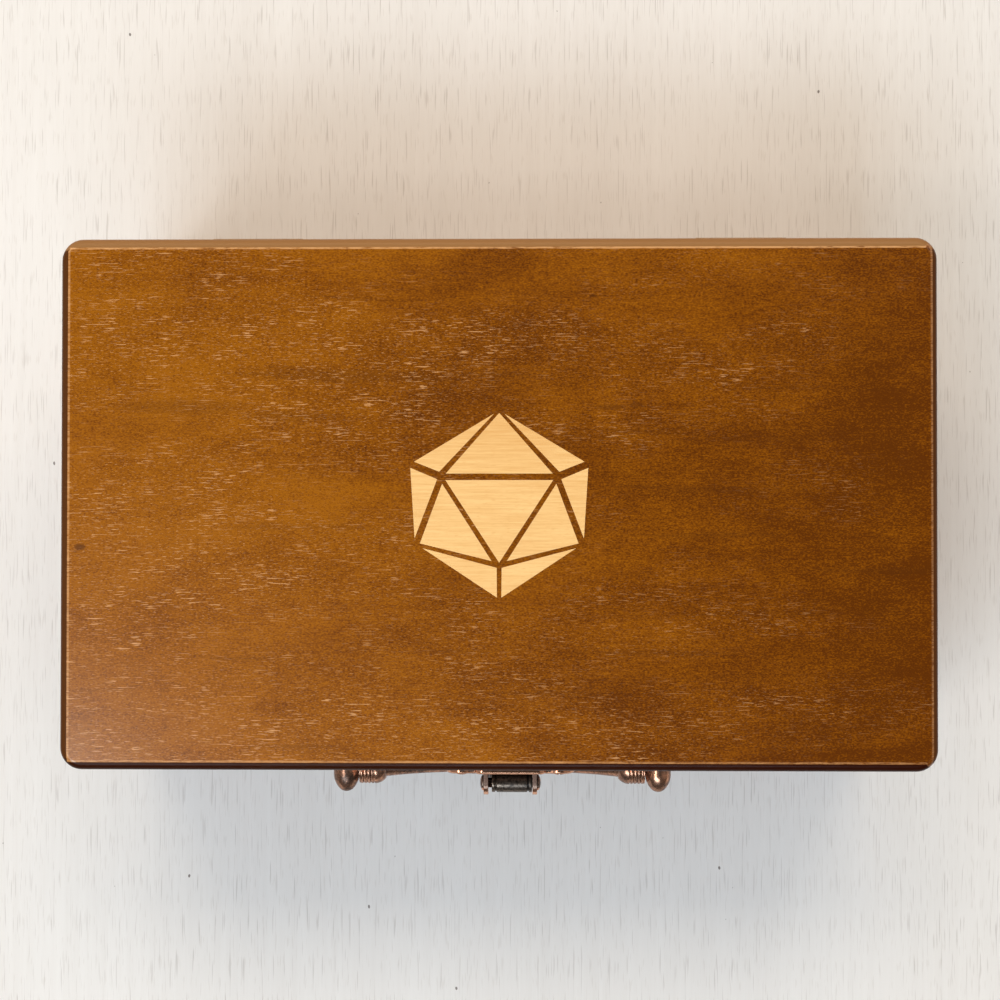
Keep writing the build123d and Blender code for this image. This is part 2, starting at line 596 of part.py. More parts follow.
# ---- Drawer ----
def drawer(screws):
    """Give the nodes of the drawer box, with grooved bottom and finger-jointed back."""
    heights = (DRAWER_LOW, DRAWER_HIGH)
    side_y = (DRAWER_FRONT_BACK_Y - TONGUE, DRAWER_BACK_Y)
    left_x = (-DRAWER_X, -DRAWER_X + DRAWER_WALL)
    right_x = (DRAWER_X - DRAWER_WALL, DRAWER_X)
    back_x = (-DRAWER_X, DRAWER_X)
    back_y = (DRAWER_BACK_Y - DRAWER_WALL, DRAWER_BACK_Y)
    boards = jointed(
        {
            "drawer_side_left": (block(left_x, side_y, heights), left_x, side_y),
            "drawer_side_right": (block(right_x, side_y, heights), right_x, side_y),
        },
        {"drawer_back": (block(back_x, back_y, heights), back_x, back_y)},
        DRAWER_LOW,
        DRAWER_HIGH,
    )
    inside_x = (left_x[1], right_x[0])
    inside_y = (DRAWER_FRONT_BACK_Y, back_y[0])
    bottom = block(
        (inside_x[0] - GROOVE, inside_x[1] + GROOVE),
        (inside_y[0] - GROOVE, inside_y[1] + GROOVE),
        (DRAWER_FLOOR - DRAWER_BOTTOM_T, DRAWER_FLOOR),
    )
    boards = {name: board - bottom for name, board in boards.items()}
    front = block(
        (-DRAWER_X, DRAWER_X),
        (-Y_OUT, DRAWER_FRONT_BACK_Y),
        (Z_FLOOR + DRAWER_GAP, Z_SHELF - DRAWER_GAP),
    )
    front = fillet(front.faces().sort_by(Axis.Y)[0].edges(), DRAWER_EDGE_R)
    front -= [boards["drawer_side_left"], boards["drawer_side_right"], bottom]
    felt = block(
        (inside_x[0] + FELT_CLEAR, inside_x[1] - FELT_CLEAR),
        (inside_y[0] + FELT_CLEAR, inside_y[1] - FELT_CLEAR),
        (DRAWER_FLOOR, DRAWER_FLOOR + FELT_T),
    )
    low = DRAWER_FLOOR + FELT_T
    high = DRAWER_HIGH - DRAWER_DIVIDER_DROP
    long_dividers, cross_dividers = divider_grid(
        inside_x, inside_y, low, high, DRAWER_COLUMNS, DRAWER_ROWS
    )
    boards.update({
        "drawer_front": front - screws,
        "drawer_bottom": bottom,
        "drawer_felt": felt,
        "drawer_long_divider": long_dividers,
        "drawer_cross_dividers": cross_dividers,
    })
    return boards


def handle_screw():
    """Give the machine screw of a post, its head against the inside of the drawer front."""
    start = (POST_X, -Y_OUT - HANDLE_SCREW_IN, HANDLE_Z)
    inside = (POST_X, DRAWER_FRONT_BACK_Y, HANDLE_Z)
    end = (POST_X, DRAWER_FRONT_BACK_Y + HANDLE_SCREW_HEAD_H, HANDLE_Z)
    head = rod(HANDLE_SCREW_HEAD_R, inside, end)
    rim = head.edges().filter_by(GeomType.CIRCLE).sort_by(Axis.Y)[-1]
    return rod(HANDLE_SCREW_R, start, inside) + chamfer(rim, HANDLE_SCREW_HEAD_H / 3)


def handle_post(screw):
    """Give the right post: a flared foot on the drawer front, a stem and a long domed tip.

    The dome's outline is a flat arc that leaves the stem smoothly and runs into the tip's arc.
    """
    side_in = POST_SIDE_R - POST_R
    rise = sqrt((POST_SIDE_R - POST_TIP_R) ** 2 - side_in**2)
    meet_deg = degrees(atan2(rise, side_in))
    tip = POST_REACH - POST_TIP_R
    stem = tip - rise
    flare = POST_FOOT_T + POST_FLARE
    outline = Polyline((0, 0), (POST_FOOT_R, 0), (POST_FOOT_R, POST_FOOT_T), (POST_R, flare), (POST_R, stem))
    outline += CenterArc((-side_in, stem), POST_SIDE_R, 0, meet_deg)
    outline += CenterArc((0, tip), POST_TIP_R, meet_deg, 90 - meet_deg)
    outline += Line((0, POST_REACH), (0, 0))
    post = facing((0, -1, 0), (POST_X, -Y_OUT, HANDLE_Z)) * turned(outline)
    socket_end = POST_X - POST_R + SPIGOT_IN
    socket = rod(
        SPIGOT_R + SPIGOT_CLEAR,
        (POST_X - POST_FOOT_R, BAIL_Y, HANDLE_Z),
        (socket_end, BAIL_Y, HANDLE_Z),
    )
    return post - socket - screw


# ---- Bail ----
def bail_end():
    """Give the right end of the bail: a spigot, and a ringed bulb with a rounded nose."""
    spigot_end = POST_X - POST_R + SPIGOT_IN - POST_CLEAR
    axis = (BAIL_Y, HANDLE_Z)
    end = rod(SPIGOT_R, (BULB_X, *axis), (spigot_end, *axis))
    nose_x = BULB_X - BULB_STRAIGHT
    nose_in = BULB_NOSE_R - sqrt(BULB_NOSE_R**2 - (nose_x - BULB_END_X) ** 2)
    nose = RadiusArc((nose_x, BULB_R), (BULB_END_X, BULB_R - nose_in), -BULB_NOSE_R)
    rest = Polyline(
        (BULB_END_X, BULB_R - nose_in), (BULB_END_X, 0), (BULB_X, 0), (BULB_X, BULB_R), (nose_x, BULB_R)
    )
    bulb = Pos(0, *axis) * revolve(make_face(nose + rest), Axis.X)
    first = BULB_X - (BULB_STRAIGHT - BULB_RINGS * BULB_RING_PITCH) / 2
    for number in range(BULB_RINGS + 1):
        groove_x = first - number * BULB_RING_PITCH
        span = ((groove_x - BULB_GROOVE_W / 2, *axis), (groove_x + BULB_GROOVE_W / 2, *axis))
        bulb -= rod(BULB_R + BULB_GROOVE_DEPTH, *span) - rod(BULB_R - BULB_GROOVE_DEPTH, *span)
    return end + bulb


def bail_bar():
    """Give the drooping bar, thickest at its ends, lofted through circles along an arc."""
    half = BULB_END_X + (BULB_L - BULB_STRAIGHT) / 2
    arc_r = (half**2 + BAR_DROP**2) / (2 * BAR_DROP)
    sweep_angle = asin(half / arc_r)
    sections = []
    for number in range(BAR_SECTIONS):
        share = 2 * number / (BAR_SECTIONS - 1) - 1
        angle = share * sweep_angle
        middle = (arc_r * sin(angle), BAIL_Y, HANDLE_Z - BAR_DROP + arc_r * (1 - cos(angle)))
        radius = BAR_MIDDLE_R + (BAR_END_R - BAR_MIDDLE_R) * share**BAR_FLARE_POWER
        place = Plane(origin=middle, x_dir=(0, 1, 0), z_dir=(cos(angle), 0, sin(angle)))
        sections.append(place * Circle(radius))
    return loft(sections)


def handle():
    """Give the nodes of the bail pull: two posts, their screws and the bail."""
    screw = handle_screw()
    post = handle_post(screw)
    end = bail_end()
    return {
        "handle_post_right": post,
        "handle_post_left": mirrored_x(post),
        "handle_screws": [screw, mirrored_x(screw)],
        "bail_handle": end + bail_bar() + mirrored_x(end),
    }


# ---- Tray ----
def tray():
    """Give the nodes of the lift-out tray: finger-jointed walls, bottom, lining and dividers."""
    heights = (TRAY_LOW, TRAY_HIGH)
    x = (-TRAY_X, TRAY_X)
    y = (-TRAY_Y, TRAY_Y)
    front_y = (y[0], y[0] + TRAY_WALL)
    back_y = (y[1] - TRAY_WALL, y[1])
    left_x = (x[0], x[0] + TRAY_WALL)
    right_x = (x[1] - TRAY_WALL, x[1])
    boards = jointed(
        {
            "tray_wall_front": (block(x, front_y, heights), x, front_y),
            "tray_wall_back": (block(x, back_y, heights), x, back_y),
        },
        {
            "tray_wall_left": (block(left_x, y, heights), left_x, y),
            "tray_wall_right": (block(right_x, y, heights), right_x, y),
        },
        TRAY_LOW,
        TRAY_HIGH,
    )
    inside_x = (left_x[1], right_x[0])
    inside_y = (front_y[1], back_y[0])
    bottom = block(
        (inside_x[0] - GROOVE, inside_x[1] + GROOVE),
        (inside_y[0] - GROOVE, inside_y[1] + GROOVE),
        (TRAY_LOW, TRAY_FLOOR),
    )
    notch_z = TRAY_HIGH - NOTCH_DEPTH + NOTCH_R
    notch = rod(NOTCH_R, (x[0], 0, notch_z), (x[1], 0, notch_z))
    notch += block(x, (-NOTCH_R, NOTCH_R), (notch_z, TRAY_HIGH + NOTCH_R))
    boards = {name: board - bottom for name, board in boards.items()}
    for name in ("tray_wall_left", "tray_wall_right"):
        boards[name] -= notch
    boards["tray_bottom"] = bottom
    boards["tray_felt"] = block(
        (inside_x[0] + FELT_CLEAR, inside_x[1] - FELT_CLEAR),
        (inside_y[0] + FELT_CLEAR, inside_y[1] - FELT_CLEAR),
        (TRAY_FLOOR, TRAY_FLOOR + FELT_T),
    )
    low = TRAY_FLOOR + FELT_T
    high = TRAY_HIGH - TRAY_DIVIDER_DROP
    grid = divider_grid(inside_x, inside_y, low, high, TRAY_COLUMNS, TRAY_ROWS)
    boards["tray_long_dividers"], boards["tray_cross_dividers"] = grid
    return boards


# ---- The whole chest ----
def chest():
    """Give every node of the chest as name to solid or list of solids."""
    hinge_nodes, mortises = hinges()
    latch_nodes = latch()
    handle_nodes = handle()
    facets = inlay_facets()
    fasteners = {**hinge_nodes, **latch_nodes}
    nodes = {"inlay_facets": facets}
    nodes.update(case(mortises, fasteners))
    nodes.update(lid(mortises, fasteners, facets))
    nodes.update(drawer(handle_nodes["handle_screws"]))
    nodes.update(tray())
    nodes.update(hinge_nodes)
    nodes.update(latch_nodes)
    nodes.update(handle_nodes)
    return nodes


def main():
    """Write each node of the chest to its own file."""
    os.makedirs("parts", exist_ok=True)
    for name, shape in chest().items():
        solid = Compound(children=shape) if isinstance(shape, list) else shape
        export_step(solid, f"parts/{name}.step")
    print(f"hasp pressed home {HASP_PRESS_DEG:.2f} degrees, bail swings in {BAIL_IN_DEG:.2f} degrees")
    print(f"lid axis y {HINGE_AXIS_Y}, z {Z_SEAM}; latch axis y {LATCH_Y}, z {LATCH_Z}")
    print(f"bail axis y {BAIL_Y}, z {HANDLE_Z}; drawer travel {DRAWER_TRAVEL}; tray travel {TRAY_TRAVEL}")


main()
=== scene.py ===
import json
import logging
import math
from dataclasses import dataclass
from enum import Enum
from typing import Iterable, Optional, Union

import bmesh
import bpy
from mathutils import Euler, Matrix, Vector, noise

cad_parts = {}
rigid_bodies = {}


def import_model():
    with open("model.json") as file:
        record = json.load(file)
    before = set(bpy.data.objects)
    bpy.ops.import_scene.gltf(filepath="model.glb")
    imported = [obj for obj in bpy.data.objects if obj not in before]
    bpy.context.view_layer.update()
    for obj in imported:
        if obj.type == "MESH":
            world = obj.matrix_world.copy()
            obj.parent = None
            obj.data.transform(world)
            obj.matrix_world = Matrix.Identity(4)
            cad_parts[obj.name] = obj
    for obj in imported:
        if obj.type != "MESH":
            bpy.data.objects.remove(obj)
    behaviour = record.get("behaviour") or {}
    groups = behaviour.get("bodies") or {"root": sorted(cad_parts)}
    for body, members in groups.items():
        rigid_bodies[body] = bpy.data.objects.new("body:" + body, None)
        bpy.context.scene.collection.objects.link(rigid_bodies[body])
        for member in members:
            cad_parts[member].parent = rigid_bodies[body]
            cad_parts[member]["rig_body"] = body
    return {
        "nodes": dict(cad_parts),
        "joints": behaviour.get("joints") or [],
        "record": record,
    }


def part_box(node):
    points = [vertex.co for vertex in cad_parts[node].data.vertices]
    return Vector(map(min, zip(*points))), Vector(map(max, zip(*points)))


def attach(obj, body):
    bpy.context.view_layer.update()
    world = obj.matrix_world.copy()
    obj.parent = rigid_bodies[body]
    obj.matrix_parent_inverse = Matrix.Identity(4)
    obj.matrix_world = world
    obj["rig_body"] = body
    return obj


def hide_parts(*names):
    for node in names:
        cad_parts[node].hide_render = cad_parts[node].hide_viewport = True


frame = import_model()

LOG = logging.getLogger("dice_chest")
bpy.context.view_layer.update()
MM = 0.001

Number = Union[int, float]
Triple = tuple[float, float, float]
Colour = Triple
Operand = Union["Value", Number]


# ---------------------------------------------------------------- shader maths
class Value:
    """A shader socket that takes part in Python arithmetic."""

    def __init__(self, tree: bpy.types.NodeTree, socket: bpy.types.NodeSocket) -> None:
        """Wrap one output socket.

        Args:
            tree: The node tree that holds the socket.
            socket: The output socket.
        """
        self.tree = tree
        self.socket = socket

    def maths(self, operation: str, *operands: Operand, clamp: bool = False) -> "Value":
        """Add one Math node fed by this value and the operands.

        Args:
            operation: The Math node's operation.
            operands: Values or numbers for its other inputs.
            clamp: Whether the result is kept between 0 and 1.

        Returns:
            The node's result.
        """
        node = self.tree.nodes.new("ShaderNodeMath")
        node.operation = operation
        node.use_clamp = clamp
        for place, operand in enumerate((self, *operands)):
            if isinstance(operand, Value):
                self.tree.links.new(operand.socket, node.inputs[place])
            else:
                node.inputs[place].default_value = float(operand)
        return Value(self.tree, node.outputs[0])

    def __add__(self, other: Operand) -> "Value":
        """Add."""
        return self.maths("ADD", other)

    def __radd__(self, other: Operand) -> "Value":
        """Add, with this value on the right."""
        return self.maths("ADD", other)

    def __sub__(self, other: Operand) -> "Value":
        """Subtract."""
        return self.maths("SUBTRACT", other)

    def __rsub__(self, other: Operand) -> "Value":
        """Subtract this value from a number."""
        return self.maths("MULTIPLY", -1.0) + other

    def __mul__(self, other: Operand) -> "Value":
        """Multiply."""
        return self.maths("MULTIPLY", other)

    def __rmul__(self, other: Operand) -> "Value":
        """Multiply, with this value on the right."""
        return self.maths("MULTIPLY", other)

    def __truediv__(self, other: Operand) -> "Value":
        """Divide."""
        return self.maths("DIVIDE", other)

    def size(self) -> "Value":
        """Give the absolute value."""
        return self.maths("ABSOLUTE")

    def kept(self) -> "Value":
        """Give the value kept between 0 and 1."""
        return self.maths("ADD", 0.0, clamp=True)

    def larger(self, other: Operand) -> "Value":
        """Give the larger of two values."""
        return self.maths("MAXIMUM", other)

    def smaller(self, other: Operand) -> "Value":
        """Give the smaller of two values."""
        return self.maths("MINIMUM", other)

    def step(self, low: Number, high: Number) -> "Value":
        """Give 0 below low, 1 above high and a smooth rise between them.

        Args:
            low: Where the rise starts.
            high: Where it ends. It may be below low, which turns the rise round.

        Returns:
            The mask.
        """
        share = ((self - low) / (high - low)).kept()
        return share * share * (3.0 - 2.0 * share)


class Shader:
    """Adds nodes to the node tree of a material or of the world."""

    def __init__(self, tree: bpy.types.NodeTree) -> None:
        """Take a node tree."""
        self.tree = tree

    def add(
        self,
        kind: str,
        settings: Optional[dict] = None,
        sockets: Optional[dict] = None,
        output: Union[int, str] = 0,
    ) -> Value:
        """Add a node of any kind.

        Args:
            kind: The node's type, without its ShaderNode prefix.
            settings: Its own settings, with a ramp's stops as a list of (place, colour).
            sockets: Values, numbers, colours or vectors for its inputs, by name or index.
            output: Which output is wanted.

        Returns:
            The wanted output.
        """
        node = self.tree.nodes.new("ShaderNode" + kind)
        for name, setting in (settings or {}).items():
            if name == "stops":
                self.set_stops(node.color_ramp, setting)
            else:
                setattr(node, name, setting)
        for name, value in (sockets or {}).items():
            if isinstance(value, Value):
                self.tree.links.new(value.socket, node.inputs[name])
            elif isinstance(value, tuple) and node.inputs[name].type == "RGBA":
                node.inputs[name].default_value = (*value, 1.0)
            else:
                node.inputs[name].default_value = value
        return Value(self.tree, node.outputs[output])

    @staticmethod
    def set_stops(ramp: bpy.types.ColorRamp, stops: list[tuple[float, Colour]]) -> None:
        """Set a colour ramp's stops.

        Args:
            ramp: The ramp.
            stops: Pairs of place and colour, in rising order.
        """
        while len(ramp.elements) < len(stops):
            ramp.elements.new(0.5)
        for element, (place, colour) in zip(ramp.elements, stops):
            element.position = place
            element.color = (*colour, 1.0)

    def split(self, vector: Value) -> tuple[Value, ...]:
        """Give a vector's three parts."""
        return tuple(self.add("SeparateXYZ", None, {0: vector}, output=part) for part in range(3))


class Finisher(Shader):
    """Builds the node tree of one material."""

    def __init__(self, name: str) -> None:
        """Start an empty material of that name."""
        self.material = bpy.data.materials.new(name)
        self.material.use_nodes = True
        super().__init__(self.material.node_tree)
        self.tree.nodes.clear()

    def axes(self) -> tuple[Value, ...]:
        """Give the object coordinates one by one."""
        return self.split(self.add("TexCoord", output="Object"))

    def cloud(
        self,
        offset: Union[Vector, Triple],
        repeats: Triple,
        detail: float = 2.0,
        roughness: float = 0.5,
        twist: float = 0.0,
    ) -> Value:
        """Give a noise over the object coordinates.

        Args:
            offset: What is added to the coordinates, in metres.
            repeats: Repeats per metre along X, Y and Z.
            detail: Number of octaves.
            roughness: Share of the finer octaves.
            twist: Distortion of the coordinates.

        Returns:
            A value about 0.5.
        """
        coordinates = self.add("TexCoord", output="Object")
        moved = self.add("VectorMath", {"operation": "ADD"}, {0: coordinates, 1: tuple(offset)})
        place = self.add("VectorMath", {"operation": "MULTIPLY"}, {0: moved, 1: repeats})
        sockets = {"Vector": place, "Scale": 1.0, "Detail": detail}
        sockets |= {"Roughness": roughness, "Distortion": twist}
        return self.add("TexNoise", {"noise_dimensions": "3D"}, sockets)

    def blend(self, mask: Operand, base: Union[Value, Colour], over: Union[Value, Colour]) -> Value:
        """Mix two colours.

        Args:
            mask: 0 gives base and 1 gives over.
            base: The colour at 0.
            over: The colour at 1.

        Returns:
            The mixed colour.
        """
        settings = {"data_type": "RGBA", "blend_type": "MIX", "clamp_factor": True}
        return self.add("Mix", settings, {0: mask, 6: base, 7: over}, output=2)

    def relief(self, height: Value, depth_m: float, strength: float) -> Value:
        """Give the normal of a bumpy surface.

        Args:
            height: Height from 0 to 1.
            depth_m: What a height of 1 stands for, in metres.
            strength: Share of the bump that shows.

        Returns:
            The normal.
        """
        return self.add("Bump", None, {"Height": height, "Distance": depth_m, "Strength": strength})

    def finish(self, linked: dict[str, Value], constants: dict[str, float]) -> bpy.types.Material:
        """Close the material with its surface shader.

        Args:
            linked: What changes over the surface, by socket name.
            constants: What is the same all over, by socket name.

        Returns:
            The material.
        """
        shader = self.add("BsdfPrincipled", None, {**constants, **linked})
        output = self.tree.nodes.new("ShaderNodeOutputMaterial")
        self.tree.links.new(shader.socket, output.inputs["Surface"])
        return self.material


def tone(red: int, green: int, blue: int) -> Colour:
    """Give the linear colour of three display values from 0 to 255.

    Args:
        red: Red.
        green: Green.
        blue: Blue.

    Returns:
        The linear colour.
    """
    shares = (channel / 255 for channel in (red, green, blue))
    return tuple(s / 12.92 if s <= 0.04045 else ((s + 0.055) / 1.055) ** 2.4 for s in shares)


# ---------------------------------------------------------------- finishes
class Grain(Enum):
    """The way a board's grain runs, as the number of the axis that it follows."""

    ALONG_X = 0
    ALONG_Y = 1

    def stretch(self, along: float, across: float) -> Triple:
        """Give the coordinate factors of a pattern that is drawn out along the grain.

        Args:
            along: Repeats per metre along the grain.
            across: Repeats per metre across it.

        Returns:
            The factors for X, Y and Z.
        """
        factors = [across, across, across]
        factors[self.value] = along
        return tuple(factors)


@dataclass(frozen=True)
class WoodLayer:
    """One noise of a wood's figure, drawn out along the grain, and the levels that cut it into spots.

    Attributes:
        along: Repeats per metre along the grain.
        across: Repeats per metre across it.
        detail: Number of octaves.
        roughness: Share of the finer octaves.
        twist: Distortion of the coordinates.
        apart: Multiple of the wood's own shift, so that layers with like repeats differ.
        low: Level at which a spot starts.
        high: Level at which it is full.
        strength: What a full spot counts.
    """

    along: float
    across: float
    detail: float
    roughness: float
    twist: float = 0.0
    apart: int = 1
    low: float = 0.0
    high: float = 1.0
    strength: float = 1.0

    def build(self, f: Finisher, shift: Vector, grain: Grain) -> Value:
        """Add the layer's noise.

        Args:
            f: The material in the making.
            shift: The wood's own shift.
            grain: The way its grain runs.

        Returns:
            The noise.
        """
        repeats = grain.stretch(self.along, self.across)
        return f.cloud(shift * self.apart, repeats, self.detail, self.roughness, self.twist)

    def spots(self, noise_value: Value) -> Value:
        """Cut the layer's noise into spots."""
        return noise_value.step(self.low, self.high) * self.strength


WOOD_LAYERS = {
    "mottle": WoodLayer(9.0, 14.0, 3.0, 0.55, twist=0.4),
    "patches": WoodLayer(44.0, 80.0, 5.0, 0.68, twist=0.3),
    "ripple": WoodLayer(30.0, 420.0, 4.0, 0.6),
    "fibre": WoodLayer(160.0, 2600.0, 2.0, 0.6),
    "grit": WoodLayer(420.0, 900.0, 3.0, 0.7),
    "speckle": WoodLayer(1300.0, 2300.0, 1.0, 0.5, apart=2),
    "band": WoodLayer(9.0, 160.0, 3.0, 0.6, apart=3, low=0.6, high=0.74, strength=0.3),
    "pores": WoodLayer(230.0, 2500.0, 1.0, 0.4, apart=5, low=0.62, high=0.67),
    "hairs": WoodLayer(700.0, 3600.0, 1.0, 0.4, apart=6, low=0.64, high=0.7, strength=0.55),
    "density": WoodLayer(12.0, 34.0, 3.0, 0.6, apart=7, low=0.34, high=0.66),
    "cluster": WoodLayer(60.0, 150.0, 2.0, 0.5, apart=8, low=0.42, high=0.62),
    "fleck": WoodLayer(420.0, 2700.0, 1.0, 0.4, apart=11, low=0.66, high=0.76, strength=0.4),
}
STAIN_SHARES = {"mottle": 0.8, "patches": 0.72, "ripple": 0.24, "fibre": 0.2, "grit": 0.75, "speckle": 1.1}
STAIN_LEVEL = 1.39
# Noises that break up the painted highlight line on the rim.
HIGHLIGHT_BREAK_SHARES = {"grit": 0.7, "pores": 0.9, "mottle": 0.8}
RELIEF_SHARES = {"fibre": 0.5, "patches": 0.6}


def mixed(noises: dict[str, Value], shares: dict[str, float]) -> Value:
    """Give the weighted sum of some noises.

    Args:
        noises: The noises by name.
        shares: How much of each is wanted.

    Returns:
        The sum.
    """
    return sum(noises[name] * share for name, share in shares.items())


@dataclass(frozen=True)
class BySide:
    """A number that is changed on the chest's front, back and right."""

    base: float
    front: float
    back: float
    right: float

    def over(self, sides: tuple[Value, Value, Value]) -> Value:
        """Give the number over the surface, from the masks of front, back and right."""
        front, back, right = sides
        return self.base + self.front * front + self.back * back + self.right * right


@dataclass(frozen=True)
class RimStainAndPaintedLight:
    """The tint of the chest's outer edges: a darker stained band, with painted shade on the front, a painted
    reflection on the back and a painted highlight line inside it.
    """

    # plain is the stained band on the left and right; front is painted shade and back is a painted
    # reflection.
    plain: Colour = tone(80, 44, 16)
    front: Colour = tone(42, 10, 2)
    back: Colour = tone(150, 108, 66)
    reach: float = 2.6 * MM
    width: BySide = BySide(0.25, front=0.04, back=0.18, right=-0.28)
    start: tuple[float, float] = (0.26, 0.34)
    side_start: tuple[float, float] = (-0.6, -0.3)
    strength: float = 0.96
    fade_start: float = 2.275 * MM
    fade_end: float = 7.15 * MM
    line_start: tuple[float, float] = (-0.02, 0.12)
    line_drop: tuple[float, float] = (2.2 * MM, 1.6 * MM)
    # Strength of the painted highlight line on each side, and the noise levels that break it up.
    rub: BySide = BySide(0.7, front=-0.15, back=0.2, right=-0.35)
    rub_start: tuple[float, float] = (0.8, 1.4)

    def near(self, across: Value, width: float) -> Value:
        """Give how near a point lies to one outer side.

        Args:
            across: The coordinate that grows towards that side.
            width: The chest's whole size along it.

        Returns:
            The nearness, 1 at the outline and 0 where the rim starts.
        """
        return (across - (width / 2 - self.reach)) / self.reach

    def dress(
        self, f: Finisher, colour: Value, pore: Colour, rub: Value, axes: tuple[Value, ...]
    ) -> tuple[Value, Value]:
        """Tint the rim with stain, painted shade and painted reflection, and draw the painted highlight
        line.

        Args:
            f: The material in the making.
            colour: The wood's colour.
            pore: The colour of bare wood, also used for the painted highlight line.
            rub: The noise that breaks the painted highlight line up.
            axes: The object coordinates.

        Returns:
            The new colour, and the rim's mask.
        """
        x, y, z = axes
        ways = ((-1 * y, CHEST.width), (y, CHEST.width), (x, CHEST.length))
        sides = tuple(self.near(across, width).step(*self.side_start) for across, width in ways)
        near_x, near_y = self.near(x.size(), CHEST.length), self.near(y.size(), CHEST.width)
        width = self.width.over(sides)
        depth = near_x.larger(near_y) + width
        corner = (near_x.smaller(near_y) + width).step(*self.start)
        fall = z.step(CHEST.height - self.fade_end, CHEST.height - self.fade_start)
        edge = (depth.step(*self.start) * fall).larger(corner) * self.strength
        top = z.step(*(CHEST.height - drop for drop in self.line_drop))
        line = depth.step(*self.line_start) * depth.step(*reversed(self.start)) * top
        # Painted highlight: the pale line, broken up by noise, stronger behind and weaker in front and on
        # the right.
        wear = rub.step(*self.rub_start) * self.rub.over(sides)
        # Painted shade in front and a painted reflection behind, over the stained band.
        tint = f.blend(sides[1], f.blend(sides[0], self.plain, self.front), self.back)
        return f.blend(line * wear, f.blend(edge, colour, tint), pore), edge


@dataclass(frozen=True)
class StainedWood:
    """Amber-brown stain under a satin lacquer, on a fine wood with short pale pores."""

    name: str
    grain: Grain
    seed: float = 0.0
    dark: Colour = tone(92, 44, 0)
    middle: Colour = tone(127, 69, 0)
    light: Colour = tone(156, 92, 3)
    pore: Colour = tone(214, 160, 106)
    streak: Colour = tone(84, 42, 4)
    rim: RimStainAndPaintedLight = RimStainAndPaintedLight()
    # Strength of a painted light falloff: the stain darkens from left to right.
    fade: float = 0.0
    pore_fade: float = 0.6
    pore_strength: float = 0.8
    marks: tuple["LidMark", ...] = ()

    def build(self) -> bpy.types.Material:
        """Build the material."""
        f = Finisher(self.name)
        shift = Vector((self.seed * 1.7, self.seed * 0.9, self.seed * 2.3))
        noises = {name: layer.build(f, shift, self.grain) for name, layer in WOOD_LAYERS.items()}
        spotted = ("band", "pores", "hairs", "cluster", "fleck")
        spots = {name: WOOD_LAYERS[name].spots(noises[name]) for name in spotted}
        axes = x, y, _ = f.axes()
        # Painted light falloff: darker towards the right, as a window on the left would light it.
        painted_falloff = x * (self.fade / CHEST.length)
        depth = mixed(noises, STAIN_SHARES) - STAIN_LEVEL - painted_falloff
        stops = [(0.18, self.dark), (0.5, self.middle), (0.85, self.light)]
        colour = f.add("ValToRGB", {"stops": stops}, {0: depth.kept()})
        colour = f.blend(spots["band"], colour, self.streak)
        # Painted sheen: the pale pores thin out towards the right.
        density = WOOD_LAYERS["density"].spots(noises["density"] - painted_falloff * self.pore_fade)
        open_pores = (spots["pores"] * spots["cluster"] + spots["hairs"]).kept() * density
        colour = f.blend(open_pores * self.pore_strength, colour, self.pore)
        colour = f.blend(spots["fleck"], colour, self.streak)
        # The rim's stained band, with painted shade in front, a painted reflection behind and a painted
        # highlight line.
        colour, edge = self.rim.dress(f, colour, self.pore, mixed(noises, HIGHLIGHT_BREAK_SHARES), axes)
        for mark in self.marks:
            colour = f.blend(mark.mask(x, y), colour, self.streak)
        relief = mixed(noises, RELIEF_SHARES) - 0.5 * open_pores
        rough = 0.24 + 0.1 * noises["patches"] + 0.1 * open_pores
        return f.finish(
            {
                "Base Color": colour,
                "Roughness": rough,
                "Normal": f.relief(relief, 0.08 * MM, 0.6),
                "Coat Weight": (0.95 - edge).kept(),
            },
            {"Specular IOR Level": 0.08, "Coat Roughness": 0.2, "Coat IOR": 1.5},
        )


@dataclass(frozen=True)
class LidMark:
    """A small dark knot or streak on the lid's top, with its place and half sizes in millimetres."""

    x: float
    y: float
    half_length: float
    half_width: float
    strength: float

    def mask(self, x: Value, y: Value) -> Value:
        """Give the mark's mask.

        Args:
            x: Object X.
            y: Object Y.

        Returns:
            The mask.
        """
        along = (x - self.x * MM) / (self.half_length * MM)
        across = (y - self.y * MM) / (self.half_width * MM)
        return (along * along + across * across).step(1.0, 0.1) * self.strength


LID_MARKS = (
    LidMark(-133.5, -13.8, 2.4, 1.3, 0.75),
    LidMark(30.6, 66.4, 1.6, 0.6, 0.7),
    LidMark(36.0, 30.8, 7.0, 1.2, 0.45),
    LidMark(44.5, 31.4, 3.0, 1.4, 0.4),
    LidMark(-100.0, 31.0, 26.0, 3.2, 0.22),
    LidMark(-66.0, 28.0, 20.0, 2.4, 0.2),
)


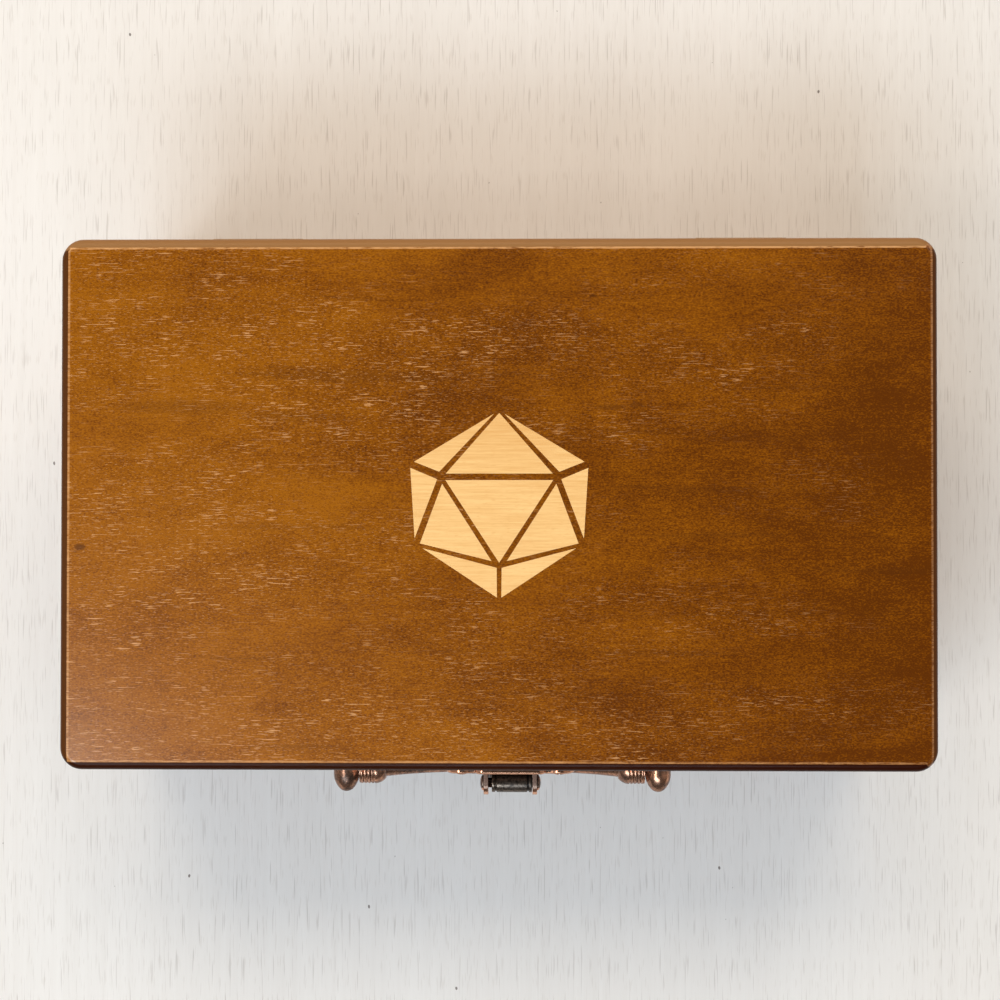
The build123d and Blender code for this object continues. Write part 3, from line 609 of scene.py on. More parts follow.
@dataclass(frozen=True)
class PaleInlay:
    """Pale maple with fine straight grain, under the lid's lacquer."""

    name: str = "pale_inlay"
    base: Colour = tone(244, 200, 134)
    dark: Colour = tone(226, 172, 102)
    darker_behind: tuple[float, float] = (4.0 * MM, 30.0 * MM)

    def build(self) -> bpy.types.Material:
        """Build the material."""
        f = Finisher(self.name)
        lines = f.cloud((0.3, 0.1, 0.0), (60.0, 1500.0, 300.0), 3.0, 0.7, 0.1)
        sweep = f.cloud((0.1, 0.7, 0.0), (22.0, 140.0, 100.0), 2.0, 0.5)
        pores = f.cloud((0.9, 0.2, 0.0), (420.0, 4200.0, 900.0), 1.0, 0.4)
        _, y, _ = f.axes()
        mask = (lines * 2.4 + sweep * 0.9 + y.step(*self.darker_behind) * 0.45 - 1.36).kept()
        colour = f.blend(mask, self.base, self.dark)
        colour = f.blend(pores.step(0.6, 0.7) * 0.55, colour, self.dark)
        normal = f.relief(lines, 0.00003, 0.35)
        return f.finish(
            {"Base Color": colour, "Roughness": 0.34 + 0.1 * sweep, "Normal": normal},
            {"Specular IOR Level": 0.4, "Coat Weight": 0.3, "Coat Roughness": 0.2},
        )


@dataclass(frozen=True)
class Felt:
    """Short-napped felt of one dye."""

    name: str
    base: Colour = tone(38, 34, 36)
    light: Colour = tone(66, 60, 62)

    def build(self) -> bpy.types.Material:
        """Build the material."""
        f = Finisher(self.name)
        nap = f.cloud((0.2, 0.4, 0.1), (2400.0, 2400.0, 2400.0), 3.0, 0.65, 0.8)
        tufts = f.cloud((0.6, 0.1, 0.3), (520.0, 520.0, 520.0), 3.0, 0.6, 0.5)
        brushed = f.cloud((0.8, 0.9, 0.3), (30.0, 46.0, 40.0), 2.0, 0.5, 0.6)
        mask = (nap * 0.7 + tufts * 0.5 + brushed * 0.5 - 0.5).kept()
        colour = f.blend(mask, self.base, self.light)
        normal = f.relief(nap * 0.7 + tufts * 0.6, 0.0003, 0.7)
        return f.finish(
            {"Base Color": colour, "Roughness": 0.9 + 0.08 * tufts, "Normal": normal},
            {"Specular IOR Level": 0.15, "Sheen Weight": 0.45, "Sheen Roughness": 0.6},
        )


@dataclass(frozen=True)
class AgedMetal:
    """Metal with a dark patina that is rubbed off in cloudy patches and along its edges.

    Attributes:
        name: The material's name.
        patina: Colour of the patina.
        worn: Colour where it is rubbed off.
        bright: Colour of the most rubbed edges.
        wear: How much is rubbed off.
        roughness: Roughness of the patina.
        shade: Lowest and highest Y of a strip where the patina is kept dark, as painted shade by the lid's
            edge.
        brushed: Repeats per metre of the rubbing along X, Y and Z.
    """

    name: str
    patina: Colour = tone(78, 60, 51)
    worn: Colour = tone(206, 152, 122)
    bright: Colour = tone(246, 214, 192)
    wear: float = 0.48
    roughness: float = 0.22
    shade: Optional[tuple[float, float]] = None
    brushed: Triple = (500.0, 500.0, 500.0)

    def build(self) -> bpy.types.Material:
        """Build the material."""
        f = Finisher(self.name)
        blotch = f.cloud((0.5, 0.3, 0.9), (170.0, 170.0, 170.0), 4.0, 0.62, 0.5)
        fine = f.cloud((0.1, 0.8, 0.2), (1300.0, 1300.0, 1300.0), 3.0, 0.6, 0.3)
        rub = f.cloud((0.7, 0.6, 0.4), self.brushed, 2.0, 0.5)
        edge = f.add("NewGeometry", output="Pointiness").step(0.52, 0.6)
        worn = ((blotch * 0.8 + fine * 0.45 + rub * 0.25 + self.wear - 1.05) * 2.6).kept()
        worn = (worn + edge * 0.75).kept()
        # Painted shade: the patina is kept dark in this strip of Y.
        if self.shade:
            _, y, _ = f.axes()
            low, high = self.shade
            worn = worn * (1 - 0.9 * y.step(low - 0.2 * MM, low + 0.2 * MM) * y.step(high, high - 0.4 * MM))
        colour = f.blend(worn, self.patina, self.worn)
        colour = f.blend((edge * fine.step(0.35, 0.6)) * 0.7, colour, self.bright)
        rough = self.roughness + 0.22 * fine - 0.16 * worn
        normal = f.relief(fine * 0.5 + blotch * 0.5, 0.00008, 0.45)
        metal = 0.72 + 0.25 * worn
        return f.finish(
            {"Base Color": colour, "Roughness": rough, "Metallic": metal, "Normal": normal},
            {"Specular IOR Level": 0.5},
        )


@dataclass(frozen=True)
class PaintedBoard:
    """The white-washed board that the chest stands on."""

    name: str = "painted_board"
    base: Colour = tone(239, 237, 235)
    grain: Colour = tone(214, 209, 204)
    crack: Colour = tone(160, 150, 144)
    speck: Colour = tone(96, 84, 78)

    def build(self) -> bpy.types.Material:
        """Build the material."""
        f = Finisher(self.name)
        lines = f.cloud((0.3, 0.2, 0.0), (420.0, 14.0, 1.0), 4.0, 0.62, 0.15)
        wash = f.cloud((0.9, 0.5, 0.0), (18.0, 6.0, 1.0), 3.0, 0.55, 0.4)
        dashes = f.cloud((0.4, 0.9, 0.0), (1500.0, 130.0, 1.0), 1.0, 0.4)
        dots = f.cloud((0.1, 0.3, 0.0), (420.0, 260.0, 1.0), 0.0, 0.0)
        cracks = f.cloud((0.7, 0.6, 0.0), (1700.0, 60.0, 1.0), 1.0, 0.4)
        mask = (lines * 0.45 + wash * 0.5 + dashes.step(0.6, 0.72) * 0.3 - 0.3).kept()
        colour = f.blend(mask, self.base, self.grain)
        colour = f.blend(cracks.step(0.62, 0.72) * (wash * 0.6), colour, self.crack)
        colour = f.blend(dots.step(0.885, 0.9) * 0.8, colour, self.speck)
        normal = f.relief(lines, 0.0002, 0.35)
        return f.finish(
            {"Base Color": colour, "Roughness": 0.55 + 0.2 * lines, "Normal": normal},
            {"Specular IOR Level": 0.2},
        )


@dataclass(frozen=True)
class ChestSize:
    """Outside sizes of the closed wooden chest, in metres."""

    length: float
    width: float
    height: float


CHEST = ChestSize(
    length=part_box("lid_panel")[1].x * 2,
    width=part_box("lid_panel")[1].y * 2,
    height=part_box("lid_panel")[1].z,
)


class Finishes:
    """Every finish of the chest, each built once."""

    stains = 2
    first_seed = 1.3
    seed_step = 0.77
    inner_seed = 5.1
    # Y strip of painted shade on the latch, by the lid's edge.
    latch_shade = (-92.4 * MM, -87.2 * MM)

    def __init__(self) -> None:
        """Build the finishes."""
        # The lid's stain carries a painted light falloff from left to right.
        self.lid_top = StainedWood("stained_lid_top", Grain.ALONG_X, fade=0.45, marks=LID_MARKS).build()
        self.stained = {
            grain: [self.stain(grain, number) for number in range(self.stains)] for grain in Grain
        }
        self.inner = {
            grain: StainedWood(
                f"inner_{grain.name.lower()}",
                grain,
                self.inner_seed,
                dark=tone(120, 74, 28),
                middle=tone(150, 98, 44),
                light=tone(176, 124, 66),
                pore=tone(206, 160, 108),
                streak=tone(100, 60, 26),
                rim=RimStainAndPaintedLight(plain=tone(120, 76, 36)),
            ).build()
            for grain in Grain
        }
        self.inlay = PaleInlay().build()
        self.felt = Felt("lining_felt").build()
        self.copper = AgedMetal("aged_copper").build()
        # The latch's darker copy of the copper: its darker patina and the latch_shade strip are painted
        # shade by the lid's edge.
        self.latch = AgedMetal(
            "aged_copper_latch", patina=tone(52, 38, 32), wear=0.75, shade=self.latch_shade
        ).build()
        self.steel = AgedMetal(
            "dark_steel",
            patina=tone(31, 26, 23),
            worn=tone(96, 83, 71),
            bright=tone(184, 164, 148),
            wear=0.36,
            roughness=0.27,
            brushed=(120.0, 1400.0, 1400.0),
        ).build()
        self.brass = AgedMetal(
            "aged_brass",
            patina=tone(70, 50, 28),
            worn=tone(164, 120, 62),
            bright=tone(214, 176, 110),
            wear=0.46,
        ).build()
        self.screw = AgedMetal(
            "browned_screws",
            patina=tone(64, 44, 34),
            worn=tone(160, 112, 88),
            bright=tone(216, 176, 150),
            wear=0.55,
        ).build()

    def stain(self, grain: Grain, number: int) -> bpy.types.Material:
        """Build one of the outer boards' stained woods.

        Args:
            grain: The way its grain runs.
            number: Which one of its kind it is.

        Returns:
            The material.
        """
        seed = self.first_seed + number * self.seed_step
        return StainedWood(f"stained_{grain.name.lower()}_{number}", grain, seed).build()


# ---------------------------------------------------------------- mesh work
MERGE = 0.002 * MM
SAME_PLACE = 1e-7
FLAT_ANGLE = math.radians(0.6)
EASE_STEPS = 2
FLAT_FACE_WEIGHT = 90


def piece_from(mesh: bmesh.types.BMesh, name: str, smooth: bool = True) -> bpy.types.Object:
    """Turn a finished bmesh into an object of the scene.

    Args:
        mesh: The bmesh, which is freed.
        name: The piece's name.
        smooth: Whether its faces are shaded smooth.

    Returns:
        The object.
    """
    data = bpy.data.meshes.new(name)
    for face in mesh.faces:
        face.smooth = smooth
    mesh.to_mesh(data)
    mesh.free()
    piece = bpy.data.objects.new(name, data)
    bpy.context.scene.collection.objects.link(piece)
    return piece


def weigh_normals(piece: bpy.types.Object) -> None:
    """Let a piece's large faces look flat beside its small rounded edges."""
    modifier = piece.modifiers.new("weighted_normals", "WEIGHTED_NORMAL")
    modifier.keep_sharp = True
    modifier.weight = FLAT_FACE_WEIGHT


def slot_of(node: str) -> str:
    """Give the material slot that the record gives a node."""
    return next(s["material_slot"] for s in frame["record"]["subparts"] if s["node"] == node)


def settle(piece: bpy.types.Object, material: bpy.types.Material, nodes: Iterable[str]) -> bpy.types.Object:
    """Dress a piece, let it ride where the nodes that it stands for ride, and hide them.

    Args:
        piece: The piece.
        material: Its finish.
        nodes: The CAD nodes that it replaces.

    Returns:
        The piece.
    """
    nodes = list(nodes)
    piece.data.materials.clear()
    piece.data.materials.append(material)
    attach(piece, frame["nodes"][nodes[0]]["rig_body"])
    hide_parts(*nodes)
    slot_of(nodes[0])
    return piece


def dress_node(node: str, material: bpy.types.Material) -> None:
    """Give a CAD node that stays in view its finish.

    Args:
        node: The node.
        material: Its finish.
    """
    obj = frame["nodes"][node]
    if not obj.material_slots:
        obj.data.materials.append(material)
    for material_slot in obj.material_slots:
        material_slot.material = material


def rounded(
    mesh: bmesh.types.BMesh, edges: list[bmesh.types.BMEdge], width: float, steps: int, clamp: bool = False
) -> None:
    """Round some edges of a mesh.

    Args:
        mesh: The bmesh.
        edges: Its edges that are rounded.
        width: Width of the rounding on each side, in metres.
        steps: Steps in the rounding.
        clamp: Whether roundings that would overlap are made smaller.
    """
    bmesh.ops.bevel(
        mesh, geom=edges, offset=width, offset_type="OFFSET", affect="EDGES", segments=steps,
        profile=0.5, material=-1, clamp_overlap=clamp,
    )


def eased_copy(node: str, name: str, ease: float, sharp_deg: float = 28.0) -> bpy.types.Object:
    """Copy a CAD node, merge its faces and round its sharp edges.

    Args:
        node: The node.
        name: The new piece's name.
        ease: Width of the rounding, in metres.
        sharp_deg: Edges sharper than this are rounded.

    Returns:
        The piece.
    """
    mesh = bmesh.new()
    mesh.from_mesh(frame["nodes"][node].data)
    bmesh.ops.remove_doubles(mesh, verts=mesh.verts, dist=MERGE)
    bmesh.ops.dissolve_limit(
        mesh, angle_limit=FLAT_ANGLE, verts=mesh.verts, edges=mesh.edges, use_dissolve_boundaries=False
    )
    limit = math.radians(sharp_deg)
    sharp = [edge for edge in mesh.edges if len(edge.link_faces) == 2 and edge.calc_face_angle(0) > limit]
    rounded(mesh, sharp, ease, EASE_STEPS, clamp=True)
    piece = piece_from(mesh, name)
    weigh_normals(piece)
    return piece


def rounded_block(low: Vector, high: Vector, corner: float, corner_steps: int) -> bmesh.types.BMesh:
    """Make a block whose upright edges are rounded.

    Args:
        low: Its lowest corner.
        high: Its highest corner.
        corner: Radius of the upright edges.
        corner_steps: Steps in each rounding.

    Returns:
        The bmesh.
    """
    mesh = bmesh.new()
    bmesh.ops.create_cube(mesh, size=1.0)
    bmesh.ops.scale(mesh, vec=high - low, verts=mesh.verts)
    bmesh.ops.translate(mesh, vec=(high + low) / 2, verts=mesh.verts)
    upright = [e for e in mesh.edges if abs(e.verts[0].co.z - e.verts[1].co.z) > (high.z - low.z) / 2]
    rounded(mesh, upright, corner, corner_steps)
    return mesh


def rim_edges(mesh: bmesh.types.BMesh, height: float) -> list[bmesh.types.BMEdge]:
    """Give the edges round a block's flat face at a height.

    Args:
        mesh: The bmesh.
        height: The face's Z.

    Returns:
        The edges.
    """
    return [
        edge
        for edge in mesh.edges
        if all(abs(vert.co.z - height) < SAME_PLACE for vert in edge.verts)
        and any(abs(face.normal.z) < 0.5 for face in edge.link_faces)
    ]


def lathe(profile: list[tuple[float, float]], steps: int) -> bmesh.types.BMesh:
    """Turn a profile about the Z axis.

    Args:
        profile: (radius, height) points, both ends on the axis.
        steps: Faces round the axis.

    Returns:
        The bmesh.
    """
    mesh = bmesh.new()
    verts = [mesh.verts.new((radius, 0.0, height)) for radius, height in profile]
    edges = [mesh.edges.new(pair) for pair in zip(verts, verts[1:])]
    bmesh.ops.spin(
        mesh,
        geom=verts + edges,
        cent=(0, 0, 0),
        axis=(0, 0, 1),
        angle=math.tau,
        steps=steps,
        use_merge=True,
        use_duplicate=False,
    )
    bmesh.ops.remove_doubles(mesh, verts=mesh.verts, dist=SAME_PLACE)
    bmesh.ops.recalc_face_normals(mesh, faces=mesh.faces)
    return mesh


def arc_points(
    radius: float, height: float, rise: float, low_deg: float, high_deg: float, steps: int
) -> list[tuple[float, float]]:
    """Give (radius, height) points of an elliptic arc about a place on the axis.

    Args:
        radius: Reach of the arc along the radius.
        height: Height of its centre.
        rise: Reach of the arc along the height.
        low_deg: First angle.
        high_deg: Last angle.
        steps: Number of stretches.

    Returns:
        The points.
    """
    angles = (math.radians(low_deg + (high_deg - low_deg) * n / steps) for n in range(steps + 1))
    return [(radius * math.cos(a), height + rise * math.sin(a)) for a in angles]


def turned_to(mesh: bmesh.types.BMesh, direction: Vector, place: Vector) -> bmesh.types.BMesh:
    """Turn a bmesh's Z axis to a direction and move its origin to a place.

    Args:
        mesh: The bmesh.
        direction: Where its Z axis is to point.
        place: Where its origin is to be.

    Returns:
        The same bmesh.
    """
    turn = Vector((0, 0, 1)).rotation_difference(direction).to_matrix().to_4x4()
    bmesh.ops.transform(mesh, matrix=Matrix.Translation(place) @ turn, verts=mesh.verts)
    return mesh


def join_into(target: bmesh.types.BMesh, source: bmesh.types.BMesh) -> None:
    """Add one bmesh's geometry to another and free it.

    Args:
        target: The bmesh that grows.
        source: The bmesh that is added.
    """
    data = bpy.data.meshes.new("join")
    source.to_mesh(data)
    source.free()
    target.from_mesh(data)
    bpy.data.meshes.remove(data)


# ---------------------------------------------------------------- woodwork
@dataclass
class Woodwork:
    """The boards of the case, lid rim, drawer and tray, each with its edges eased."""

    finishes: Finishes
    outer_ease: float = 0.35 * MM
    inner_ease: float = 0.3 * MM
    outer_along_x: tuple[str, ...] = (
        "base_panel", "case_back", "case_apron", "lid_rim_front", "lid_rim_back", "drawer_front",
    )
    outer_along_y: tuple[str, ...] = ("case_side_left", "case_side_right", "lid_rim_left", "lid_rim_right")
    inner_along_x: tuple[str, ...] = (
        "shelf", "drawer_back", "drawer_bottom", "drawer_long_divider",
        "tray_wall_front", "tray_wall_back", "tray_bottom", "tray_long_dividers",
    )
    inner_along_y: tuple[str, ...] = (
        "drawer_side_left", "drawer_side_right", "drawer_cross_dividers", "drawer_runners",
        "tray_wall_left", "tray_wall_right", "tray_cross_dividers",
    )

    def build(self) -> list[bpy.types.Object]:
        """Make every board and give them all."""
        boards = []
        for grain, nodes in ((Grain.ALONG_X, self.outer_along_x), (Grain.ALONG_Y, self.outer_along_y)):
            for number, node in enumerate(nodes):
                board = eased_copy(node, f"{node}_board", self.outer_ease)
                stains = self.finishes.stained[grain]
                boards.append(settle(board, stains[number % len(stains)], [node]))
        for grain, nodes in ((Grain.ALONG_X, self.inner_along_x), (Grain.ALONG_Y, self.inner_along_y)):
            for node in nodes:
                board = eased_copy(node, f"{node}_board", self.inner_ease)
                boards.append(settle(board, self.finishes.inner[grain], [node]))
        return boards


@dataclass
class LidTop:
    """The lid's top board with its round-over, and the pale figure let into it."""

    finishes: Finishes
    corner: float = 7.0 * MM
    corner_steps: int = 12
    round_over: float = 2.5 * MM
    round_steps: int = 8
    sunk: float = 0.02 * MM

    def build(self) -> bpy.types.Object:
        """Make the board and dress the inlay."""
        low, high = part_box("lid_panel")
        high.z -= self.sunk
        mesh = rounded_block(low, high, self.corner, self.corner_steps)
        rounded(mesh, rim_edges(mesh, high.z), self.round_over, self.round_steps)
        board = piece_from(mesh, "lid_top_board")
        weigh_normals(board)
        settle(board, self.finishes.lid_top, ["lid_panel"])
        dress_node("inlay_facets", self.finishes.inlay)
        return board


# ---------------------------------------------------------------- soft linings
@dataclass
class Lining:
    """A felt sheet, glued down, with a soft surface and rounded cut edges."""

    node: str
    finishes: Finishes
    shows_below: bool = False
    corner: float = 1.2 * MM
    edge_drop: float = 0.35 * MM
    swell: float = 0.12 * MM
    swell_repeats: float = 55.0
    cells: int = 60
    least_rows: int = 8

    def build(self) -> bpy.types.Object:
        """Make the sheet."""
        low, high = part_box(self.node)
        size = high - low
        mesh = bmesh.new()
        rows = max(self.least_rows, round(self.cells * size.y / size.x))
        bmesh.ops.create_grid(mesh, x_segments=self.cells, y_segments=rows, size=0.5)
        bmesh.ops.scale(mesh, vec=(size.x, size.y, 1.0), verts=mesh.verts)
        bmesh.ops.translate(mesh, vec=((low.x + high.x) / 2, (low.y + high.y) / 2, high.z), verts=mesh.verts)
        grown = bmesh.ops.extrude_face_region(mesh, geom=mesh.faces[:])
        under = [part for part in grown["geom"] if isinstance(part, bmesh.types.BMVert)]
        bmesh.ops.translate(mesh, vec=(0, 0, -size.z), verts=under)
        bmesh.ops.recalc_face_normals(mesh, faces=mesh.faces)
        shown_z = low.z if self.shows_below else high.z
        inward = 1.0 if self.shows_below else -1.0
        for vert in mesh.verts:
            if abs(vert.co.z - shown_z) < SAME_PLACE:
                edge = min(vert.co.x - low.x, high.x - vert.co.x, vert.co.y - low.y, high.y - vert.co.y)
                hollow = self.swell * (0.5 + 0.5 * noise.noise(vert.co * self.swell_repeats))
                hollow += self.edge_drop * max(0.0, 1.0 - edge / self.corner)
                vert.co.z += inward * hollow
        sheet = piece_from(mesh, f"{self.node}_sheet")
        settle(sheet, self.finishes.felt, [self.node])
        return sheet


# ---------------------------------------------------------------- metalwork
@dataclass
class ScrewHead:
    """A slotted screw, domed or countersunk, made about the origin with its head up."""

    head_radius: float
    head_height: float
    slot_width: float
    slot_depth: float
    shank_radius: float
    shank_length: float
    neck_share: float = 0.5
    head_rim: float = 0.02 * MM
    slot_sink: float = 0.01 * MM
    dome_steps: int = 6
    steps: int = 28

    def build(self, slot_deg: float) -> bmesh.types.BMesh:
        """Make one screw, with its slot turned by slot_deg."""
        profile = [(0.0, -self.shank_length), (self.shank_radius, -self.shank_length)]
        profile += [(self.shank_radius, -self.head_radius * self.neck_share)]
        profile += [(self.head_radius, -self.head_rim)]
        profile += arc_points(self.head_radius, 0.0, self.head_height, 0.0, 90.0, self.dome_steps)
        profile[-1] = (0.0, self.head_height)
        mesh = lathe(profile, self.steps)
        half = self.slot_width / 2
        for side in (-1, 1):
            whole = mesh.verts[:] + mesh.edges[:] + mesh.faces[:]
            bmesh.ops.bisect_plane(mesh, geom=whole, plane_co=(0, side * half, 0), plane_no=(0, 1, 0))
        middles = ((face, face.calc_center_median()) for face in mesh.faces)
        top = [face for face, at in middles if abs(at.y) < half and at.z > 0 and face.normal.z > 0.05]
        floor = self.head_height - self.slot_depth
        grown = bmesh.ops.extrude_face_region(mesh, geom=top)
        bmesh.ops.delete(mesh, geom=top, context="FACES")
        for part in grown["geom"]:
            if isinstance(part, bmesh.types.BMVert):
                part.co.z = min(part.co.z - self.slot_sink, floor)
        turn = Matrix.Rotation(math.radians(slot_deg), 3, "Z")
        bmesh.ops.rotate(mesh, cent=(0, 0, 0), matrix=turn, verts=mesh.verts)
        bmesh.ops.recalc_face_normals(mesh, faces=mesh.faces)
        return mesh


FLAT_SCREW = ScrewHead(
    head_radius=1.55 * MM, head_height=0.05 * MM, slot_width=0.45 * MM, slot_depth=0.45 * MM,
    shank_radius=0.75 * MM, shank_length=6.0 * MM,
)
ROUND_SCREW = ScrewHead(
    head_radius=2.1 * MM, head_height=0.8 * MM, slot_width=0.5 * MM, slot_depth=0.5 * MM,
    shank_radius=0.9 * MM, shank_length=6.0 * MM,
)
PAN_SCREW = ScrewHead(
    head_radius=3.2 * MM, head_height=1.8 * MM, slot_width=0.8 * MM, slot_depth=0.9 * MM,
    shank_radius=1.4 * MM, shank_length=12.0 * MM,
)


@dataclass
class ScrewSet:
    """Every screw of one CAD node, each in the place that its own solid has."""

    node: str
    direction: Vector
    screw: ScrewHead
    finishes: Finishes
    first_slot_deg: float = 25.0
    slot_turn_deg: float = 67.0

    def places(self) -> list[Vector]:
        """Give the points where the screws' heads meet what they hold.

        Returns:
            One point for each separate solid of the node.
        """
        mesh = bmesh.new()
        mesh.from_mesh(frame["nodes"][self.node].data)
        bmesh.ops.remove_doubles(mesh, verts=mesh.verts, dist=MERGE)
        left = set(mesh.verts)
        points = []
        while left:
            island, front = set(), [left.pop()]
            while front:
                vert = front.pop()
                island.add(vert)
                near = [edge.other_vert(vert) for edge in vert.link_edges]
                front += [v for v in near if v in left]
                left.difference_update(near)
            reach = [vert.co.dot(self.direction) for vert in island]
            middle = sum((vert.co for vert in island), Vector()) / len(island)
            head = max(reach) - self.screw.head_height
            points.append(middle + self.direction * (head - middle.dot(self.direction)))
        mesh.free()
        return sorted(points, key=lambda point: tuple(point))

    def build(self) -> bpy.types.Object:
        """Make the node's screws as one piece."""
        whole = bmesh.new()
        for number, place in enumerate(self.places()):
            one = self.screw.build(self.first_slot_deg + self.slot_turn_deg * number)
            join_into(whole, turned_to(one, self.direction, place))
        piece = piece_from(whole, f"{self.node}_slotted")
        weigh_normals(piece)
        return settle(piece, self.finishes.screw, [self.node])


@dataclass
class Fittings:
    """The latch, the stop hinges and their pins, with their edges rounded, and all screws."""

    finishes: Finishes
    ease: float = 0.22 * MM
    hinge_ease: float = 0.22 * MM / 3
    pin_radius: float = 1.6 * MM
    pin_head_radius: float = 2.6 * MM
    pin_head: float = 1.2 * MM
    pin_rim: float = 0.3 * MM
    pin_chamfer: float = 0.2 * MM
    pin_flat: float = 0.6 * MM
    dome_steps: int = 6
    pin_steps: int = 36

    def build(self) -> list[bpy.types.Object]:
        """Make the fittings."""
        finishes = self.finishes
        dress = [
            ("latch_plate", finishes.latch, self.ease),
            ("catch_plate", finishes.copper, self.ease),
            ("hasp", finishes.steel, self.ease),
        ]
        hinge_nodes = sorted(node for node in frame["nodes"] if node.startswith(("hinge_leaf", "hinge_pin")))
        dress += [(node, finishes.brass, self.hinge_ease) for node in hinge_nodes]
        pieces = [
            settle(eased_copy(node, f"{node}_fitting", ease, sharp_deg=32.0), material, [node])
            for node, material, ease in dress
        ]
        return pieces + [self.latch_pin()] + [screws.build() for screws in self.screw_sets()]

    def latch_pin(self) -> bpy.types.Object:
        """Make the hasp's pin with its two domed heads."""
        low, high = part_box("latch_pin")
        half = (high.x - low.x) / 2
        inner = half - self.pin_head
        crown, rise = self.pin_head_radius - self.pin_flat, self.pin_head - self.pin_rim
        dome = arc_points(crown, inner + self.pin_rim, rise, 0.0, 90.0, self.dome_steps)
        half_profile = [(self.pin_radius, 0.0), (self.pin_radius, inner)]
        half_profile += [(self.pin_head_radius - self.pin_chamfer, inner)]
        half_profile += [(self.pin_head_radius, inner + self.pin_chamfer)]
        for number, (radius, height) in enumerate(dome):
            half_profile.append((radius + self.pin_flat * (1 - number / self.dome_steps), height))
        half_profile[-1] = (0.0, half)
        lower = [(radius, -height) for radius, height in reversed(half_profile[1:])]
        mesh = turned_to(lathe(lower + half_profile, self.pin_steps), Vector((1, 0, 0)), (low + high) / 2)
        return settle(piece_from(mesh, "latch_pin_domed"), self.finishes.latch, ["latch_pin"])

    def screw_sets(self) -> list[ScrewSet]:
        """Give the chest's five sets of screws."""
        up, front, inside = Vector((0, 0, 1)), Vector((0, -1, 0)), Vector((0, 1, 0))
        return [
            ScrewSet("hinge_screws_case", up, FLAT_SCREW, self.finishes),
            ScrewSet("hinge_screws_lid", -up, FLAT_SCREW, self.finishes),
            ScrewSet("latch_screws", front, ROUND_SCREW, self.finishes),
            ScrewSet("catch_screws", front, ROUND_SCREW, self.finishes),
            ScrewSet("handle_screws", inside, PAN_SCREW, self.finishes),
        ]


@dataclass
class HandlePost:
    """A turned post on the drawer front, with a stepped foot and a long domed tip."""

    node: str
    finishes: Finishes
    radius: float = 4.7 * MM
    foot_radius: float = 6.5 * MM
    foot_height: float = 1.4 * MM
    foot_chamfer: tuple[float, float] = (0.2 * MM, 0.25 * MM)
    foot_lip: float = 0.6
    foot_round: float = 0.4 * MM
    flare: float = 1.6 * MM
    flare_share: float = 0.7
    flare_lift: float = 0.15 * MM
    flare_steps: int = 4
    side_radius: float = 8.0 * MM
    tip_radius: float = 3.5 * MM
    steps: int = 56

    def build(self) -> bpy.types.Object:
        """Make the post."""
        low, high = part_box(self.node)
        reach = high.y - low.y
        place = Vector(((low.x + high.x) / 2, high.y, (low.z + high.z) / 2))
        side_in = self.side_radius - self.radius
        rise = math.sqrt((self.side_radius - self.tip_radius) ** 2 - side_in**2)
        meet_deg = math.degrees(math.atan2(rise, side_in))
        stem = reach - self.tip_radius - rise
        chamfer_in, chamfer_up = self.foot_chamfer
        profile = [(0.0, 0.0), (self.foot_radius - chamfer_in, 0.0), (self.foot_radius, chamfer_up)]
        profile += [(self.foot_radius, self.foot_height * self.foot_lip)]
        profile += [(self.foot_radius - self.foot_round, self.foot_height)]
        for share in (number / self.flare_steps for number in range(self.flare_steps + 1)):
            out = self.flare * (1 - share) ** 2 * self.flare_share
            profile.append((self.radius + out, self.foot_height + self.flare_lift + self.flare * share))
        side = arc_points(self.side_radius, stem, self.side_radius, 0.0, meet_deg, 8)
        profile += [(radius - side_in, height) for radius, height in side]
        profile += arc_points(self.tip_radius, stem + rise, self.tip_radius, meet_deg, 90.0, 9)[1:]
        profile[-1] = (0.0, reach)
        mesh = turned_to(lathe(profile, self.steps), Vector((0, -1, 0)), place)
        post = piece_from(mesh, f"{self.node}_turned")
        return settle(post, self.finishes.copper, [self.node])


